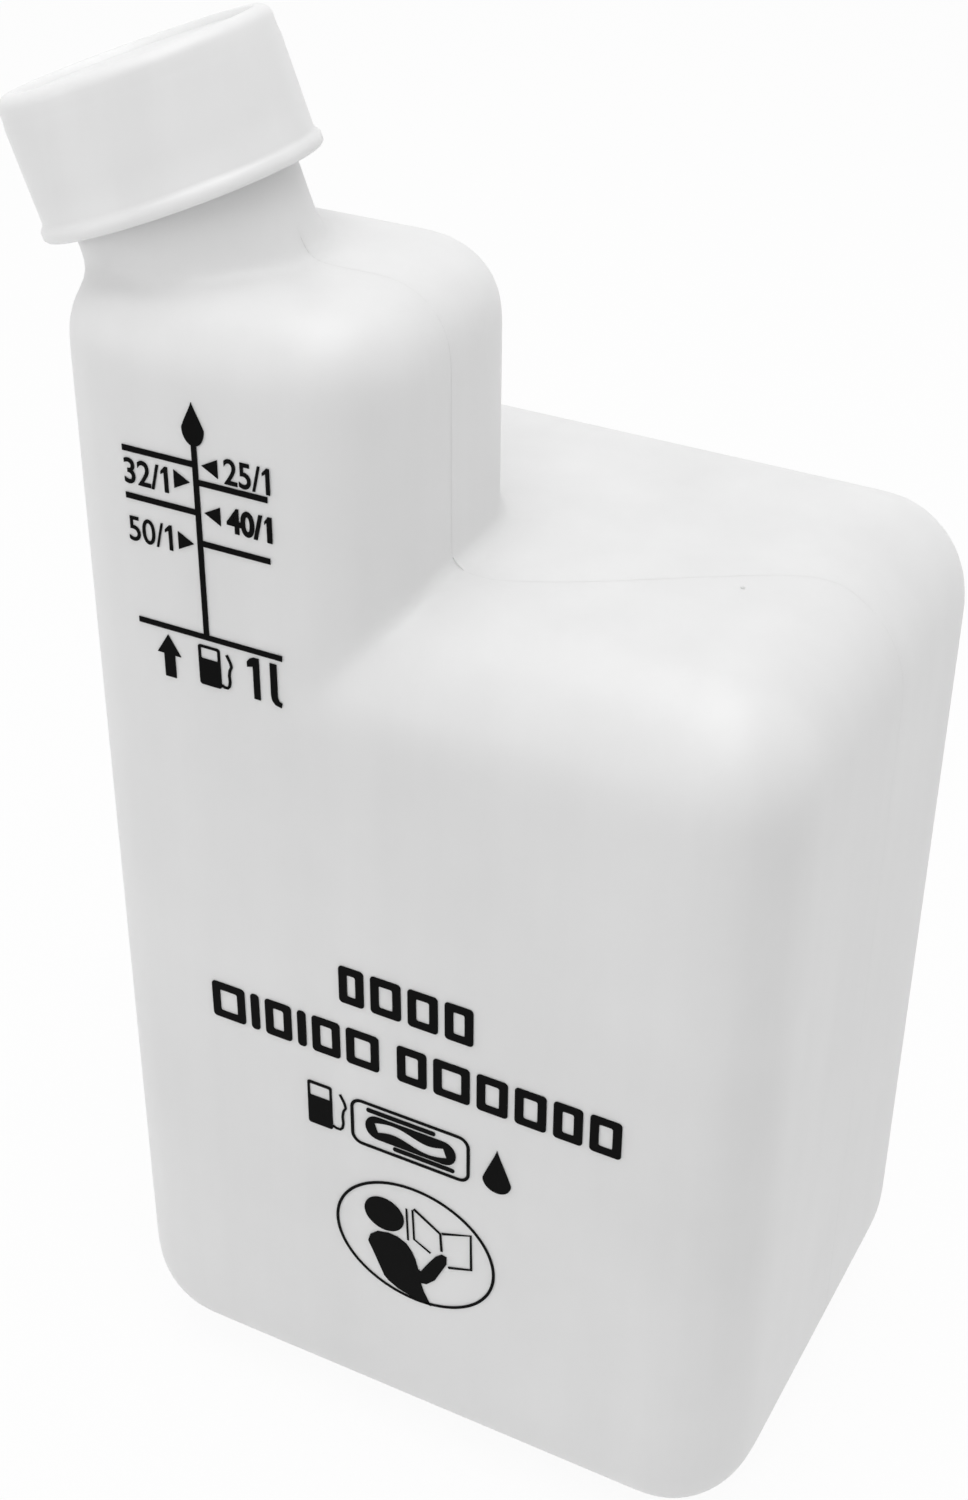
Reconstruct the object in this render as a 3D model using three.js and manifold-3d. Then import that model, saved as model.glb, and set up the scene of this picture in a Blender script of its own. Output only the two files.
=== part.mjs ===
// Fuel mixing bottle: a blow-moulded square body with a step, a tower over one corner,
// a neck that leans outward with a screw thread, a screw cap with its sealing disc,
// and a scale and marks printed on the front face.
// Millimetres, +Z up, printed front toward -Y, origin at the centre of the base.

import * as THREE from 'three';
import { mergeVertices } from 'three/addons/utils/BufferGeometryUtils.js';
import Module from 'manifold-3d';

const wasm = await Module();
wasm.setup();

// Body
const bodyWidth = 103;
const bodyDepth = 80;
const stepHeight = 143.3;
const cornerRadius = 13.6;
const stepEdgeRadius = 15.3;
const baseEdgeRadius = 17.1;
const wall = 1.5;

// Tower, flush with the front and the left side
const towerWidth = 48.4;
const towerDepth = 44.5;
const towerTop = 181;
const towerEdgeRadius = 9.2;
const stepFillet = 6;

// Neck, leaning to the left
const neckLean = THREE.MathUtils.degToRad(21.24);
const neckRadius = 14.6;
const neckWall = 1.8;
const neckAxisX = 13.1;
const neckAxisY = 20.6;
const shoulderToCap = 6.1;
const shoulderFillet = 6.4;

// Screw thread, one start
const threadPitch = 5;
const threadTurns = 1.5;
const threadDepth = 1.1;
const threadWidth = 2;
const threadStart = 4.5;
const threadSink = 0.6;
const threadRunOut = 0.2;

// Cap and its sealing disc
const capHeight = 17.8;
const capWall = 1.85;
const capTopWall = 1.8;
const capTopRounding = 1.6;
const capRimWidth = 2.2;
const capRecess = 0.7;
const capShadowStep = 0.25;
const capShadowDrop = 3.4;
const beadHeight = 1.8;
const beadStand = 0.6;
const sealThickness = 1;
const sealGap = 0.3;
const fitGap = 0.35;

// Print on the front face, its places measured from the left side and the base
const inkThickness = 0.15;
const inkLine = 0.9;
const scaleX = 24.2;
const litreHeight = 137.1;
const scaleRise = 26.5;
const ratioRises = { 25: 24, 32: 21.9, 40: 17.6, 50: 13.6 };
const ratioLabelRises = { 25: 24.6, 32: 21.1, 40: 17.8, 50: 13.2 };
const scaleReach = 10.4;
const litreOverrun = 1;
const dropHeight = 6;
const dropWidth = 3.6;
const numberLength = 6.4;
const numberHeight = 3.6;
const pointerLength = 2.4;
const pointerHeight = 2.6;
const markDrop = 4.3;
const arrowX = 18.2;
const arrowLength = 6.6;
const smallPumpX = 25;
const smallPumpHeight = 6.6;
const litreMarkX = 32.7;
const litreMarkHeight = 5.6;
const wordBarHeight = 6.6;
const upperBarX = 51.8;
const upperBarLength = 19.5;
const upperBarZ = 87.9;
const lowerBarZ = 77.4;
const lowerBarLengths = [26, 33.2];
const lowerBarXs = [34.1, 67.6];
const pictureZ = 64.2;
const pumpX = 38.6;
const pumpHeight = 9.4;
const canX = 52.7;
const canLength = 18.8;
const canHeight = 8.6;
const oilDropX = 66.5;
const oilDropHeight = 8;
const oilDropWidth = 4.6;
const ringX = 53.3;
const ringZ = 43.6;
const ringWidth = 26;
const ringHeight = 22.4;
const headWidth = 6;
const headLeft = 4.8;
const headRise = 3.6;
const bookWidth = 6;
const bookRight = 5.4;
const bookRise = 3;
const chestWidth = 6;
const chestHeight = 7.8;
const chestLeft = 3;
const chestDrop = 4.8;

// Shares of a picture's own length or height
const arrowHeadShare = 0.54;
const arrowStemShare = 0.26;
const pumpWidthShare = 0.5;
const windowLiftShare = 0.24;
const windowHeightShare = 0.3;
const threadCrestShare = 0.5;

// How finely curves are divided, and small distances that keep the rays off flat faces
const cornerSteps = 5;
const edgeSteps = 5;
const filletSteps = 3;
const fanSteps = 12;
const roundSteps = 44;
const arcSteps = 5;
const closestAngle = THREE.MathUtils.degToRad(1.6);
const widestAngle = THREE.MathUtils.degToRad(11);
const grazeClear = 0.02;
const fanReach = 12;
const neckRoot = 4;
const neckClear = 2;

// Places that follow from the sizes above
const left = -bodyWidth / 2;
const front = -bodyDepth / 2;
const towerX = left + towerWidth / 2;
const towerY = front + towerDepth / 2;
const sightX = left + towerWidth - cornerRadius;
const sightY = front + towerDepth - cornerRadius;
const neckUp = new THREE.Vector3(-Math.sin(neckLean), 0, Math.cos(neckLean));
const neckFoot = new THREE.Vector3(left + neckAxisX, front + neckAxisY, towerTop);
const capCeiling = capHeight - capRecess - capTopWall;
const sealLift = capCeiling - sealGap - sealThickness;
const mouthLift = shoulderToCap + sealLift - sealGap;
const threadCrest = neckRadius + threadDepth;
const capBore = threadCrest + fitGap;
const capRadius = capBore + capWall;
const bodyBlock = {
  x: 0,
  y: 0,
  width: bodyWidth,
  depth: bodyDepth,
  corner: cornerRadius,
  bottom: 0,
  top: stepHeight,
  bottomEdge: baseEdgeRadius,
  topEdge: stepEdgeRadius,
};
const towerBlock = {
  ...bodyBlock,
  x: towerX,
  y: towerY,
  width: towerWidth,
  depth: towerDepth,
  top: towerTop,
  topEdge: towerEdgeRadius,
};
const outerBlock = { ...bodyBlock, top: towerTop, topEdge: towerEdgeRadius };
const directions = ringDirections();
const neckPlace = new THREE.Matrix4()
  .makeTranslation(neckFoot.x, neckFoot.y, neckFoot.z)
  .multiply(new THREE.Matrix4().makeRotationY(-neckLean));

const ratioSides = { 25: -1, 32: 1, 40: -1, 50: 1 };
const ratioMarks = Object.keys(ratioSides).map((name) => ({
  name,
  side: ratioSides[name],
  z: litreHeight + ratioRises[name],
  labelZ: litreHeight + ratioLabelRises[name],
}));
const scaleTop = litreHeight + scaleRise;
const markHeight = litreHeight - markDrop;

// Distance from a point to an upright block with rounded corners and edges, negative inside
function blockDistance(point, block) {
  const acrossX = Math.abs(point.x - block.x) - block.width / 2 + block.corner;
  const acrossY = Math.abs(point.y - block.y) - block.depth / 2 + block.corner;
  const roundCorner = Math.hypot(Math.max(acrossX, 0), Math.max(acrossY, 0));
  const beside = roundCorner + Math.min(Math.max(acrossX, acrossY), 0) - block.corner;
  const edge = point.z > (block.top + block.bottom) / 2 ? block.topEdge : block.bottomEdge;
  const out = beside + edge;
  const up = Math.max(point.z - block.top, block.bottom - point.z) + edge;
  return Math.hypot(Math.max(out, 0), Math.max(up, 0)) + Math.min(Math.max(out, up), 0) - edge;
}

// Distance to the leaning neck, which starts inside the tower and has no top end
function neckDistance(point, radius) {
  const fromFoot = point.clone().sub(neckFoot);
  const along = fromFoot.dot(neckUp);
  const beside = fromFoot.addScaledVector(neckUp, -along).length() - radius;
  const below = -neckRoot - along;
  return Math.hypot(Math.max(beside, 0), Math.max(below, 0)) + Math.min(Math.max(beside, below), 0);
}

// Joins two distances with a soft fillet where the two shapes meet
function blend(first, second, reach) {
  const share = Math.max(reach - Math.abs(first - second), 0) / reach;
  return Math.min(first, second) - share * share * reach / 4;
}

// Distance to the moulded skin, with the tower kept flush with the front and the left side
function skinDistance(point, radius) {
  const stepped = blend(blockDistance(point, bodyBlock), blockDistance(point, towerBlock), stepFillet);
  const flush = Math.max(stepped, blockDistance(point, outerBlock));
  return blend(flush, neckDistance(point, radius), shoulderFillet);
}

// Angles, seen from the middle of the tower's inner corner, of the points that divide a block's rounded corners
function cornerAngles(block) {
  const angles = [];
  for (const [signX, signY] of [[1, 1], [-1, 1], [-1, -1], [1, -1]]) {
    const centreX = block.x + signX * (block.width / 2 - block.corner);
    const centreY = block.y + signY * (block.depth / 2 - block.corner);
    angles.push(Math.atan2(centreY - sightY, centreX - sightX));
    for (let i = 0; i <= cornerSteps; i += 1) {
      const turn = (Math.PI / 2) * (i / cornerSteps);
      const x = centreX + signX * block.corner * Math.cos(turn);
      const y = centreY + signY * block.corner * Math.sin(turn);
      angles.push(Math.atan2(y - sightY, x - sightX));
    }
  }
  return angles;
}

// The directions of every ring: both outlines' corners, thinned where close, filled where wide
function ringDirections() {
  const sorted = [...cornerAngles(bodyBlock), ...cornerAngles(towerBlock)].sort((a, b) => a - b);
  const kept = [sorted[0]];
  for (const angle of sorted.slice(1)) {
    if (angle - kept[kept.length - 1] > closestAngle) {
      kept.push(angle);
    }
  }
  const filled = [];
  kept.forEach((angle, i) => {
    const next = i + 1 < kept.length ? kept[i + 1] : kept[0] + 2 * Math.PI;
    const parts = Math.ceil((next - angle) / widestAngle);
    for (let part = 0; part < parts; part += 1) {
      filled.push(angle + ((next - angle) * part) / parts);
    }
  });
  return filled;
}

// The points where rays from an origin, in a plane that leans, meet the skin at a depth
function skinRing(origin, lean, depth, radius) {
  return directions.map((angle) => {
    const across = Math.cos(angle);
    const ray = new THREE.Vector3(across * Math.cos(lean), Math.sin(angle), across * Math.sin(lean));
    let inside = 0;
    let outside = bodyWidth + bodyDepth;
    for (let halving = 0; halving < 45; halving += 1) {
      const middle = (inside + outside) / 2;
      const point = origin.clone().addScaledVector(ray, middle);
      if (skinDistance(point, radius) < -depth) {
        inside = middle;
      } else {
        outside = middle;
      }
    }
    return origin.clone().addScaledVector(ray, inside);
  });
}

// Heights of the level rings: round the base edge, up to the step's edge, and up its fillet
function levelHeights(depth) {
  const heights = [];
  for (let i = 0; i <= edgeSteps; i += 1) {
    const turn = (Math.PI / 2) * (i / edgeSteps);
    heights.push(baseEdgeRadius - (baseEdgeRadius - depth) * Math.cos(turn));
  }
  for (let i = 0; i <= edgeSteps; i += 1) {
    const turn = (Math.PI / 2) * (i / edgeSteps);
    heights.push(stepHeight - stepEdgeRadius + (stepEdgeRadius - depth) * Math.sin(turn));
  }
  for (let i = 1; i <= filletSteps; i += 1) {
    heights.push(stepHeight - depth + stepFillet * (i / filletSteps) ** 2);
  }
  return heights;
}

// All rings of one skin, from the base up the tower, round the shoulder and up the neck
function skinRings(depth, radius) {
  const heights = levelHeights(depth);
  const rings = heights.map((height) => {
    const clear = height > stepHeight / 2 ? -grazeClear : grazeClear;
    const atEdge = height === heights[0] || Math.abs(height - stepHeight + depth) < grazeClear;
    const origin = new THREE.Vector3(sightX, sightY, atEdge ? height + clear : height);
    const ring = skinRing(origin, 0, depth, radius);
    ring.forEach((point) => point.setZ(height));
    return ring;
  });
  const neckStart = neckFoot.clone().addScaledVector(neckUp, neckClear);
  const pivotX = left - fanReach;
  const pivotZ = neckStart.z + (pivotX - neckStart.x) * Math.tan(neckLean);
  for (let i = 0; i <= fanSteps; i += 1) {
    const share = i / fanSteps;
    const x = THREE.MathUtils.lerp(sightX, neckStart.x, share);
    const y = THREE.MathUtils.lerp(sightY, neckStart.y, share);
    const origin = new THREE.Vector3(x, y, pivotZ + (x - pivotX) * Math.tan(neckLean * share));
    rings.push(skinRing(origin, neckLean * share, depth, radius));
  }
  for (const lift of [shoulderToCap, mouthLift]) {
    const origin = neckFoot.clone().addScaledVector(neckUp, lift);
    rings.push(skinRing(origin, neckLean, depth, radius));
  }
  return rings;
}

// A closed geometry from rings of equal length, with a fan at each end
function closedLoft(rings) {
  const count = rings[0].length;
  const points = rings.flat();
  const faces = [];
  for (let r = 0; r + 1 < rings.length; r += 1) {
    for (let i = 0; i < count; i += 1) {
      const next = (i + 1) % count;
      const low = r * count;
      const high = low + count;
      faces.push(low + i, low + next, high + next, low + i, high + next, high + i);
    }
  }
  const ends = [rings[0], rings[rings.length - 1]];
  ends.forEach((ring, end) => {
    const centre = ring.reduce((sum, point) => sum.add(point), new THREE.Vector3()).divideScalar(count);
    const middle = points.push(centre) - 1;
    const start = end === 0 ? 0 : (rings.length - 1) * count;
    for (let i = 0; i < count; i += 1) {
      const next = (i + 1) % count;
      faces.push(middle, start + (end === 0 ? next : i), start + (end === 0 ? i : next));
    }
  });
  const geometry = new THREE.BufferGeometry().setFromPoints(points);
  geometry.setIndex(faces);
  return geometry;
}

// A solid for joining and cutting, made from a closed geometry
function toSolid(geometry) {
  const bare = geometry.clone();
  bare.deleteAttribute('normal');
  bare.deleteAttribute('uv');
  const merged = mergeVertices(bare, 1e-5);
  return new wasm.Manifold(new wasm.Mesh({
    numProp: 3,
    vertProperties: new Float32Array(merged.attributes.position.array),
    triVerts: new Uint32Array(merged.index.array),
  }));
}

// A geometry from a joined or cut solid
function toGeometry(solid) {
  const mesh = solid.getMesh();
  const geometry = new THREE.BufferGeometry();
  geometry.setAttribute('position', new THREE.BufferAttribute(new Float32Array(mesh.vertProperties), 3));
  geometry.setIndex(new THREE.BufferAttribute(new Uint32Array(mesh.triVerts), 1));
  geometry.computeVertexNormals();
  return geometry;
}

// A helical ridge about Z between a sunk root and a crest, fading out at both ends
function threadRidge(root, crest, lift, turn) {
  const steps = Math.round(threadTurns * roundSteps);
  const rings = [];
  for (let i = 0; i <= steps; i += 1) {
    const share = i / steps;
    const angle = turn + 2 * Math.PI * threadTurns * share;
    const height = lift + threadPitch * threadTurns * share;
    const fade = Math.min(1, (Math.min(share, 1 - share) * threadTurns) / threadRunOut);
    const top = THREE.MathUtils.lerp(root + Math.sign(crest - root) * threadSink, crest, fade);
    const section = [
      [root, threadWidth / 2],
      [top, (threadWidth * threadCrestShare) / 2],
      [top, (-threadWidth * threadCrestShare) / 2],
      [root, -threadWidth / 2],
    ];
    if (crest < root) {
      section.reverse();
    }
    rings.push(section.map(([radius, side]) => new THREE.Vector3(
      radius * Math.cos(angle),
      radius * Math.sin(angle),
      height + side,
    )));
  }
  return rings;
}

// The bottle: the outer skin up to the mouth, the inner skin back down, and the thread
function makeBottle() {
  const innerNeck = neckRadius - neckWall + wall;
  const rings = [...skinRings(0, neckRadius), ...skinRings(wall, innerNeck).reverse()];
  const shell = toSolid(closedLoft(rings));
  const ridge = threadRidge(neckRadius - threadSink, threadCrest, shoulderToCap + threadStart, 0);
  const thread = closedLoft(ridge).applyMatrix4(neckPlace);
  return toGeometry(shell.add(toSolid(thread)));
}

// Points on a quarter circle from one angle, turning to the left
function quarter(centreR, centreZ, radius, from) {
  return Array.from({ length: arcSteps + 1 }, (_, i) => {
    const angle = from + (Math.PI / 2) * (i / arcSteps);
    return new THREE.Vector2(centreR + radius * Math.cos(angle), centreZ + radius * Math.sin(angle));
  });
}

// A turned piece about Z from points of radius and height
function turned(points) {
  const geometry = new THREE.LatheGeometry(points, roundSteps);
  geometry.rotateX(Math.PI / 2);
  return geometry;
}

// The cap: a skirt with a bead at its lower edge, a small step, a round edge and a sunk top
function makeCap() {
  const upperRadius = capRadius - capShadowStep;
  const rimInner = upperRadius - capRimWidth;
  const stepZ = capHeight - capShadowDrop;
  const topEdge = quarter(upperRadius - capTopRounding, capHeight - capTopRounding, capTopRounding, 0);
  const profile = [
    new THREE.Vector2(0, capCeiling),
    new THREE.Vector2(capBore, capCeiling),
    new THREE.Vector2(capBore, 0),
    new THREE.Vector2(capRadius + beadStand, 0),
    new THREE.Vector2(capRadius + beadStand, beadHeight),
    new THREE.Vector2(capRadius, beadHeight + beadStand),
    new THREE.Vector2(capRadius, stepZ),
    new THREE.Vector2(upperRadius, stepZ + capShadowStep),
    ...topEdge,
    new THREE.Vector2(rimInner, capHeight),
    new THREE.Vector2(rimInner - capRecess, capHeight - capRecess),
    new THREE.Vector2(0, capHeight - capRecess),
  ];
  const shell = toSolid(turned(profile));
  const innerStart = threadStart - threadPitch / 2;
  const ridge = closedLoft(threadRidge(capBore + threadSink, neckRadius + fitGap, innerStart, 0));
  return toGeometry(shell.add(toSolid(ridge)));
}

// The soft disc under the cap's top that closes the mouth
function makeSeal() {
  const radius = capBore - fitGap;
  return turned([
    new THREE.Vector2(0, 0),
    new THREE.Vector2(radius, 0),
    new THREE.Vector2(radius, sealThickness),
    new THREE.Vector2(0, sealThickness),
  ]);
}

// A flat shape, drawn in X from the left side and Z from the base, printed on the front face
function printed(shape) {
  const geometry = new THREE.ExtrudeGeometry(shape, {
    depth: inkThickness,
    bevelEnabled: false,
    curveSegments: arcSteps * 2,
  });
  geometry.rotateX(Math.PI / 2);
  return geometry;
}

// A rectangle about a centre
function barShape(x, z, length, height) {
  return new THREE.Shape([
    new THREE.Vector2(x - length / 2, z - height / 2),
    new THREE.Vector2(x + length / 2, z - height / 2),
    new THREE.Vector2(x + length / 2, z + height / 2),
    new THREE.Vector2(x - length / 2, z + height / 2),
  ]);
}

// A drop about a centre, round below and pointed above
function dropShape(x, z, width, height) {
  const radius = width / 2;
  const roundZ = z - height / 2 + radius;
  const shape = new THREE.Shape();
  shape.moveTo(x, z + height / 2);
  shape.quadraticCurveTo(x - radius, roundZ + radius, x - radius, roundZ);
  shape.absarc(x, roundZ, radius, Math.PI, 2 * Math.PI, false);
  shape.quadraticCurveTo(x + radius, roundZ + radius, x, z + height / 2);
  return shape;
}

// A triangle that points along X to one side
function pointerShape(x, z, side) {
  return new THREE.Shape([
    new THREE.Vector2(x + (side * pointerLength) / 2, z),
    new THREE.Vector2(x - (side * pointerLength) / 2, z + (side * pointerHeight) / 2),
    new THREE.Vector2(x - (side * pointerLength) / 2, z - (side * pointerHeight) / 2),
  ]);
}

// An arrow that points up
function arrowShape(x, z, length) {
  const half = length / 2;
  const headHalf = (length * arrowHeadShare) / 2;
  const stemHalf = (length * arrowStemShare) / 2;
  return new THREE.Shape([
    new THREE.Vector2(x - stemHalf, z - half),
    new THREE.Vector2(x + stemHalf, z - half),
    new THREE.Vector2(x + stemHalf, z + half / 4),
    new THREE.Vector2(x + headHalf, z + half / 4),
    new THREE.Vector2(x, z + half),
    new THREE.Vector2(x - headHalf, z + half / 4),
    new THREE.Vector2(x - stemHalf, z + half / 4),
  ]);
}

// A pump's cabinet with its window cut out
function pumpShape(x, z, height) {
  const width = height * pumpWidthShare;
  const shape = barShape(x, z, width, height);
  shape.holes.push(barShape(x, z + height * windowLiftShare, width - 2 * inkLine, height * windowHeightShare));
  return shape;
}

// A rectangular frame one line wide
function frameShape(x, z, length, height) {
  const shape = barShape(x, z, length, height);
  shape.holes.push(barShape(x, z, length - 2 * inkLine, height - 2 * inkLine));
  return shape;
}

// A round frame one line wide
function ringShape(x, z, width, height) {
  const shape = new THREE.Shape().absellipse(x, z, width / 2, height / 2, 0, 2 * Math.PI, false, 0);
  const hole = new THREE.Path();
  hole.absellipse(x, z, width / 2 - inkLine, height / 2 - inkLine, 0, 2 * Math.PI, true, 0);
  shape.holes.push(hole);
  return shape;
}

// A filled disc
function discShape(x, z, width) {
  return new THREE.Shape().absarc(x, z, width / 2, 0, 2 * Math.PI, false);
}

// The scale: an upright line with level marks to both sides and a drop on top
function makeScale() {
  const lift = scaleTop - litreHeight;
  const stem = barShape(scaleX, litreHeight + lift / 2, inkLine, lift);
  const marks = [
    barShape(scaleX + litreOverrun / 2, litreHeight, 2 * scaleReach + litreOverrun, inkLine),
    ...ratioMarks.map((mark) => {
      const x = scaleX + (mark.side * scaleReach) / 2;
      return barShape(x, mark.z, scaleReach, inkLine);
    }),
    dropShape(scaleX, scaleTop + dropHeight / 2 - inkLine, dropWidth, dropHeight),
  ];
  const solid = marks.reduce((sum, mark) => sum.add(toSolid(printed(mark))), toSolid(printed(stem)));
  return toGeometry(solid);
}

// A finish for one kind of part
function finish(color, roughness) {
  return new THREE.MeshStandardMaterial({ color, roughness, metalness: 0 });
}

// A named mesh
function part(name, geometry, material) {
  const mesh = new THREE.Mesh(geometry, material);
  mesh.name = name;
  return mesh;
}

// The flat shapes of the print, by name
function printShapes() {
  const shapes = {
    fill_arrow: arrowShape(arrowX, markHeight, arrowLength),
    small_pump_mark: pumpShape(smallPumpX, markHeight, smallPumpHeight),
    litre_mark: barShape(litreMarkX, markHeight, inkLine * 2, litreMarkHeight),
    upper_word_bar: barShape(upperBarX, upperBarZ, upperBarLength, wordBarHeight),
    pump_mark: pumpShape(pumpX, pictureZ, pumpHeight),
    hose_frame: frameShape(canX, pictureZ, canLength, canHeight),
    oil_drop: dropShape(oilDropX, pictureZ, oilDropWidth, oilDropHeight),
    reader_ring: ringShape(ringX, ringZ, ringWidth, ringHeight),
    reader_head: discShape(ringX - headLeft, ringZ + headRise, headWidth),
    reader_book: frameShape(ringX + bookRight, ringZ + bookRise, bookWidth, bookWidth),
    reader_body: barShape(ringX - chestLeft, ringZ - chestDrop, chestWidth, chestHeight),
  };
  lowerBarXs.forEach((x, i) => {
    shapes[`lower_word_bar_${i + 1}`] = barShape(x, lowerBarZ, lowerBarLengths[i], wordBarHeight);
  });
  ratioMarks.forEach((mark) => {
    const pointerX = scaleX - mark.side * (pointerLength / 2 + inkLine);
    const labelX = pointerX - mark.side * (pointerLength + numberLength) / 2 - mark.side * inkLine;
    shapes[`number_bar_${mark.name}`] = barShape(labelX, mark.labelZ, numberLength, numberHeight);
    shapes[`pointer_${mark.name}`] = pointerShape(pointerX, mark.labelZ, mark.side);
  });
  return shapes;
}

const natural = finish(0xebebeb, 0.42);
const capWhite = finish(0xf2f2f2, 0.38);
const sealGrey = finish(0xdadada, 0.6);
const blackInk = finish(0x161616, 0.5);

const group = new THREE.Group();
group.add(part('bottle', makeBottle(), natural));

const neckGroup = new THREE.Group();
neckGroup.position.copy(neckFoot);
neckGroup.rotation.y = -neckLean;
const capGroup = new THREE.Group();
capGroup.position.z = shoulderToCap;
const seal = part('cap_seal', makeSeal(), sealGrey);
seal.position.z = sealLift;
capGroup.add(part('cap', makeCap(), capWhite), seal);
neckGroup.add(capGroup);
group.add(neckGroup);

const printGroup = new THREE.Group();
printGroup.position.set(left, front, 0);
printGroup.add(part('scale_print', makeScale(), blackInk));
for (const [name, shape] of Object.entries(printShapes())) {
  printGroup.add(part(name, printed(shape), blackInk));
}
group.add(printGroup);

export default group;
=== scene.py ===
"""Fuel mixing bottle: the dressed model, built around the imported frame.

The body, tower and leaning neck are one blow-moulded shell. The cap, its sealing disc
and the black print on the front face are pieces of their own. All sizes are in metres.
"""

import logging
import math
from dataclasses import dataclass, field
from enum import Enum
from typing import Iterable, Sequence

import bmesh
import bpy
from mathutils import Matrix, Vector
from mathutils.bvhtree import BVHTree


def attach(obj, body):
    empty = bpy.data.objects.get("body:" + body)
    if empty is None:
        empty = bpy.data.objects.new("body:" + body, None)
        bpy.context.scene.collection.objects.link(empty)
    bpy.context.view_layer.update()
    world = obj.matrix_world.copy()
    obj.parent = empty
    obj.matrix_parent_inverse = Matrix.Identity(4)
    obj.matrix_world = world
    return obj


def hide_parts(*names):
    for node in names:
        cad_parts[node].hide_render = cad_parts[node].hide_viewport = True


LOG = logging.getLogger("mixing_bottle")
MM = 0.001
# Shared measures, and the steps of round shapes
WELD = 0.002 * MM
LEAST_RADIUS = 0.1 * MM
PROUD = 0.01 * MM
CRISP_ANGLE = math.radians(50)
CORNER_SEGMENTS = 48
ARC_STEPS = 24
CORNER_STEPS = 6
RING_STEPS = 96
HEAD_STEPS = 40

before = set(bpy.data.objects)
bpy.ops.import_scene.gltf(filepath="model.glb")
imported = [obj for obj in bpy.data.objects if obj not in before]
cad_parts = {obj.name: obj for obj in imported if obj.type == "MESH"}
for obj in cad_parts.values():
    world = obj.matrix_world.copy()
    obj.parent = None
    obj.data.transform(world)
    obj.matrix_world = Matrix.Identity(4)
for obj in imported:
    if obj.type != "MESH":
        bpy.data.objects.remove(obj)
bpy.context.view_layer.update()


class Slot(Enum):
    """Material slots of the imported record."""

    BOTTLE = "bottle_plastic"
    CAP = "cap_plastic"
    SEAL = "seal_foam"
    INK = "print_ink"


class Body(Enum):
    """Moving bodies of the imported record."""

    BOTTLE = "bottle_body"
    SEAL = "seal_body"
    CAP = "cap_body"


def finish_mesh(name: str, bm: bmesh.types.BMesh, weld: bool = True) -> bpy.types.Object:
    """Turn a bmesh into a scene object.

    Args:
        name: The piece's name.
        bm: The mesh, freed afterwards.
        weld: Whether doubles are merged and normals made to point outward.

    Returns:
        The new object, linked into the scene.
    """
    if weld:
        bmesh.ops.remove_doubles(bm, verts=bm.verts, dist=WELD)
        bmesh.ops.recalc_face_normals(bm, faces=bm.faces)
    mesh = bpy.data.meshes.new(name)
    bm.to_mesh(mesh)
    bm.free()
    piece = bpy.data.objects.new(name, mesh)
    bpy.context.scene.collection.objects.link(piece)
    return piece


def bake_modifiers(piece: bpy.types.Object) -> None:
    """Apply every modifier of a piece to its mesh.

    Args:
        piece: The piece, whose mesh is replaced.
    """
    depsgraph = bpy.context.evaluated_depsgraph_get()
    mesh = bpy.data.meshes.new_from_object(piece.evaluated_get(depsgraph))
    piece.modifiers.clear()
    piece.data = mesh


def shade_smooth(piece: bpy.types.Object, angle: float = math.radians(40)) -> None:
    """Shade a piece smoothly.

    Args:
        piece: The piece.
        angle: Edges sharper than this stay crisp.
    """
    for polygon in piece.data.polygons:
        polygon.use_smooth = True
    piece.data.set_sharp_from_angle(angle=angle)


def dress(
    piece: bpy.types.Object, material: bpy.types.Material, slot: Slot, body: Body, *nodes: str
) -> None:
    """Give a piece its material and body, and hide the CAD nodes it replaces.

    Args:
        piece: The piece.
        material: Its finish.
        slot: The record slot that the finish belongs to; not used.
        body: The body that it moves with.
        nodes: Names of the CAD nodes that it stands for.
    """
    piece.data.materials.clear()
    piece.data.materials.append(material)
    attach(piece, body.value)
    if nodes:
        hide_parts(*nodes)
    LOG.info("%s: %d faces on %s", piece.name, len(piece.data.polygons), body.value)


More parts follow.
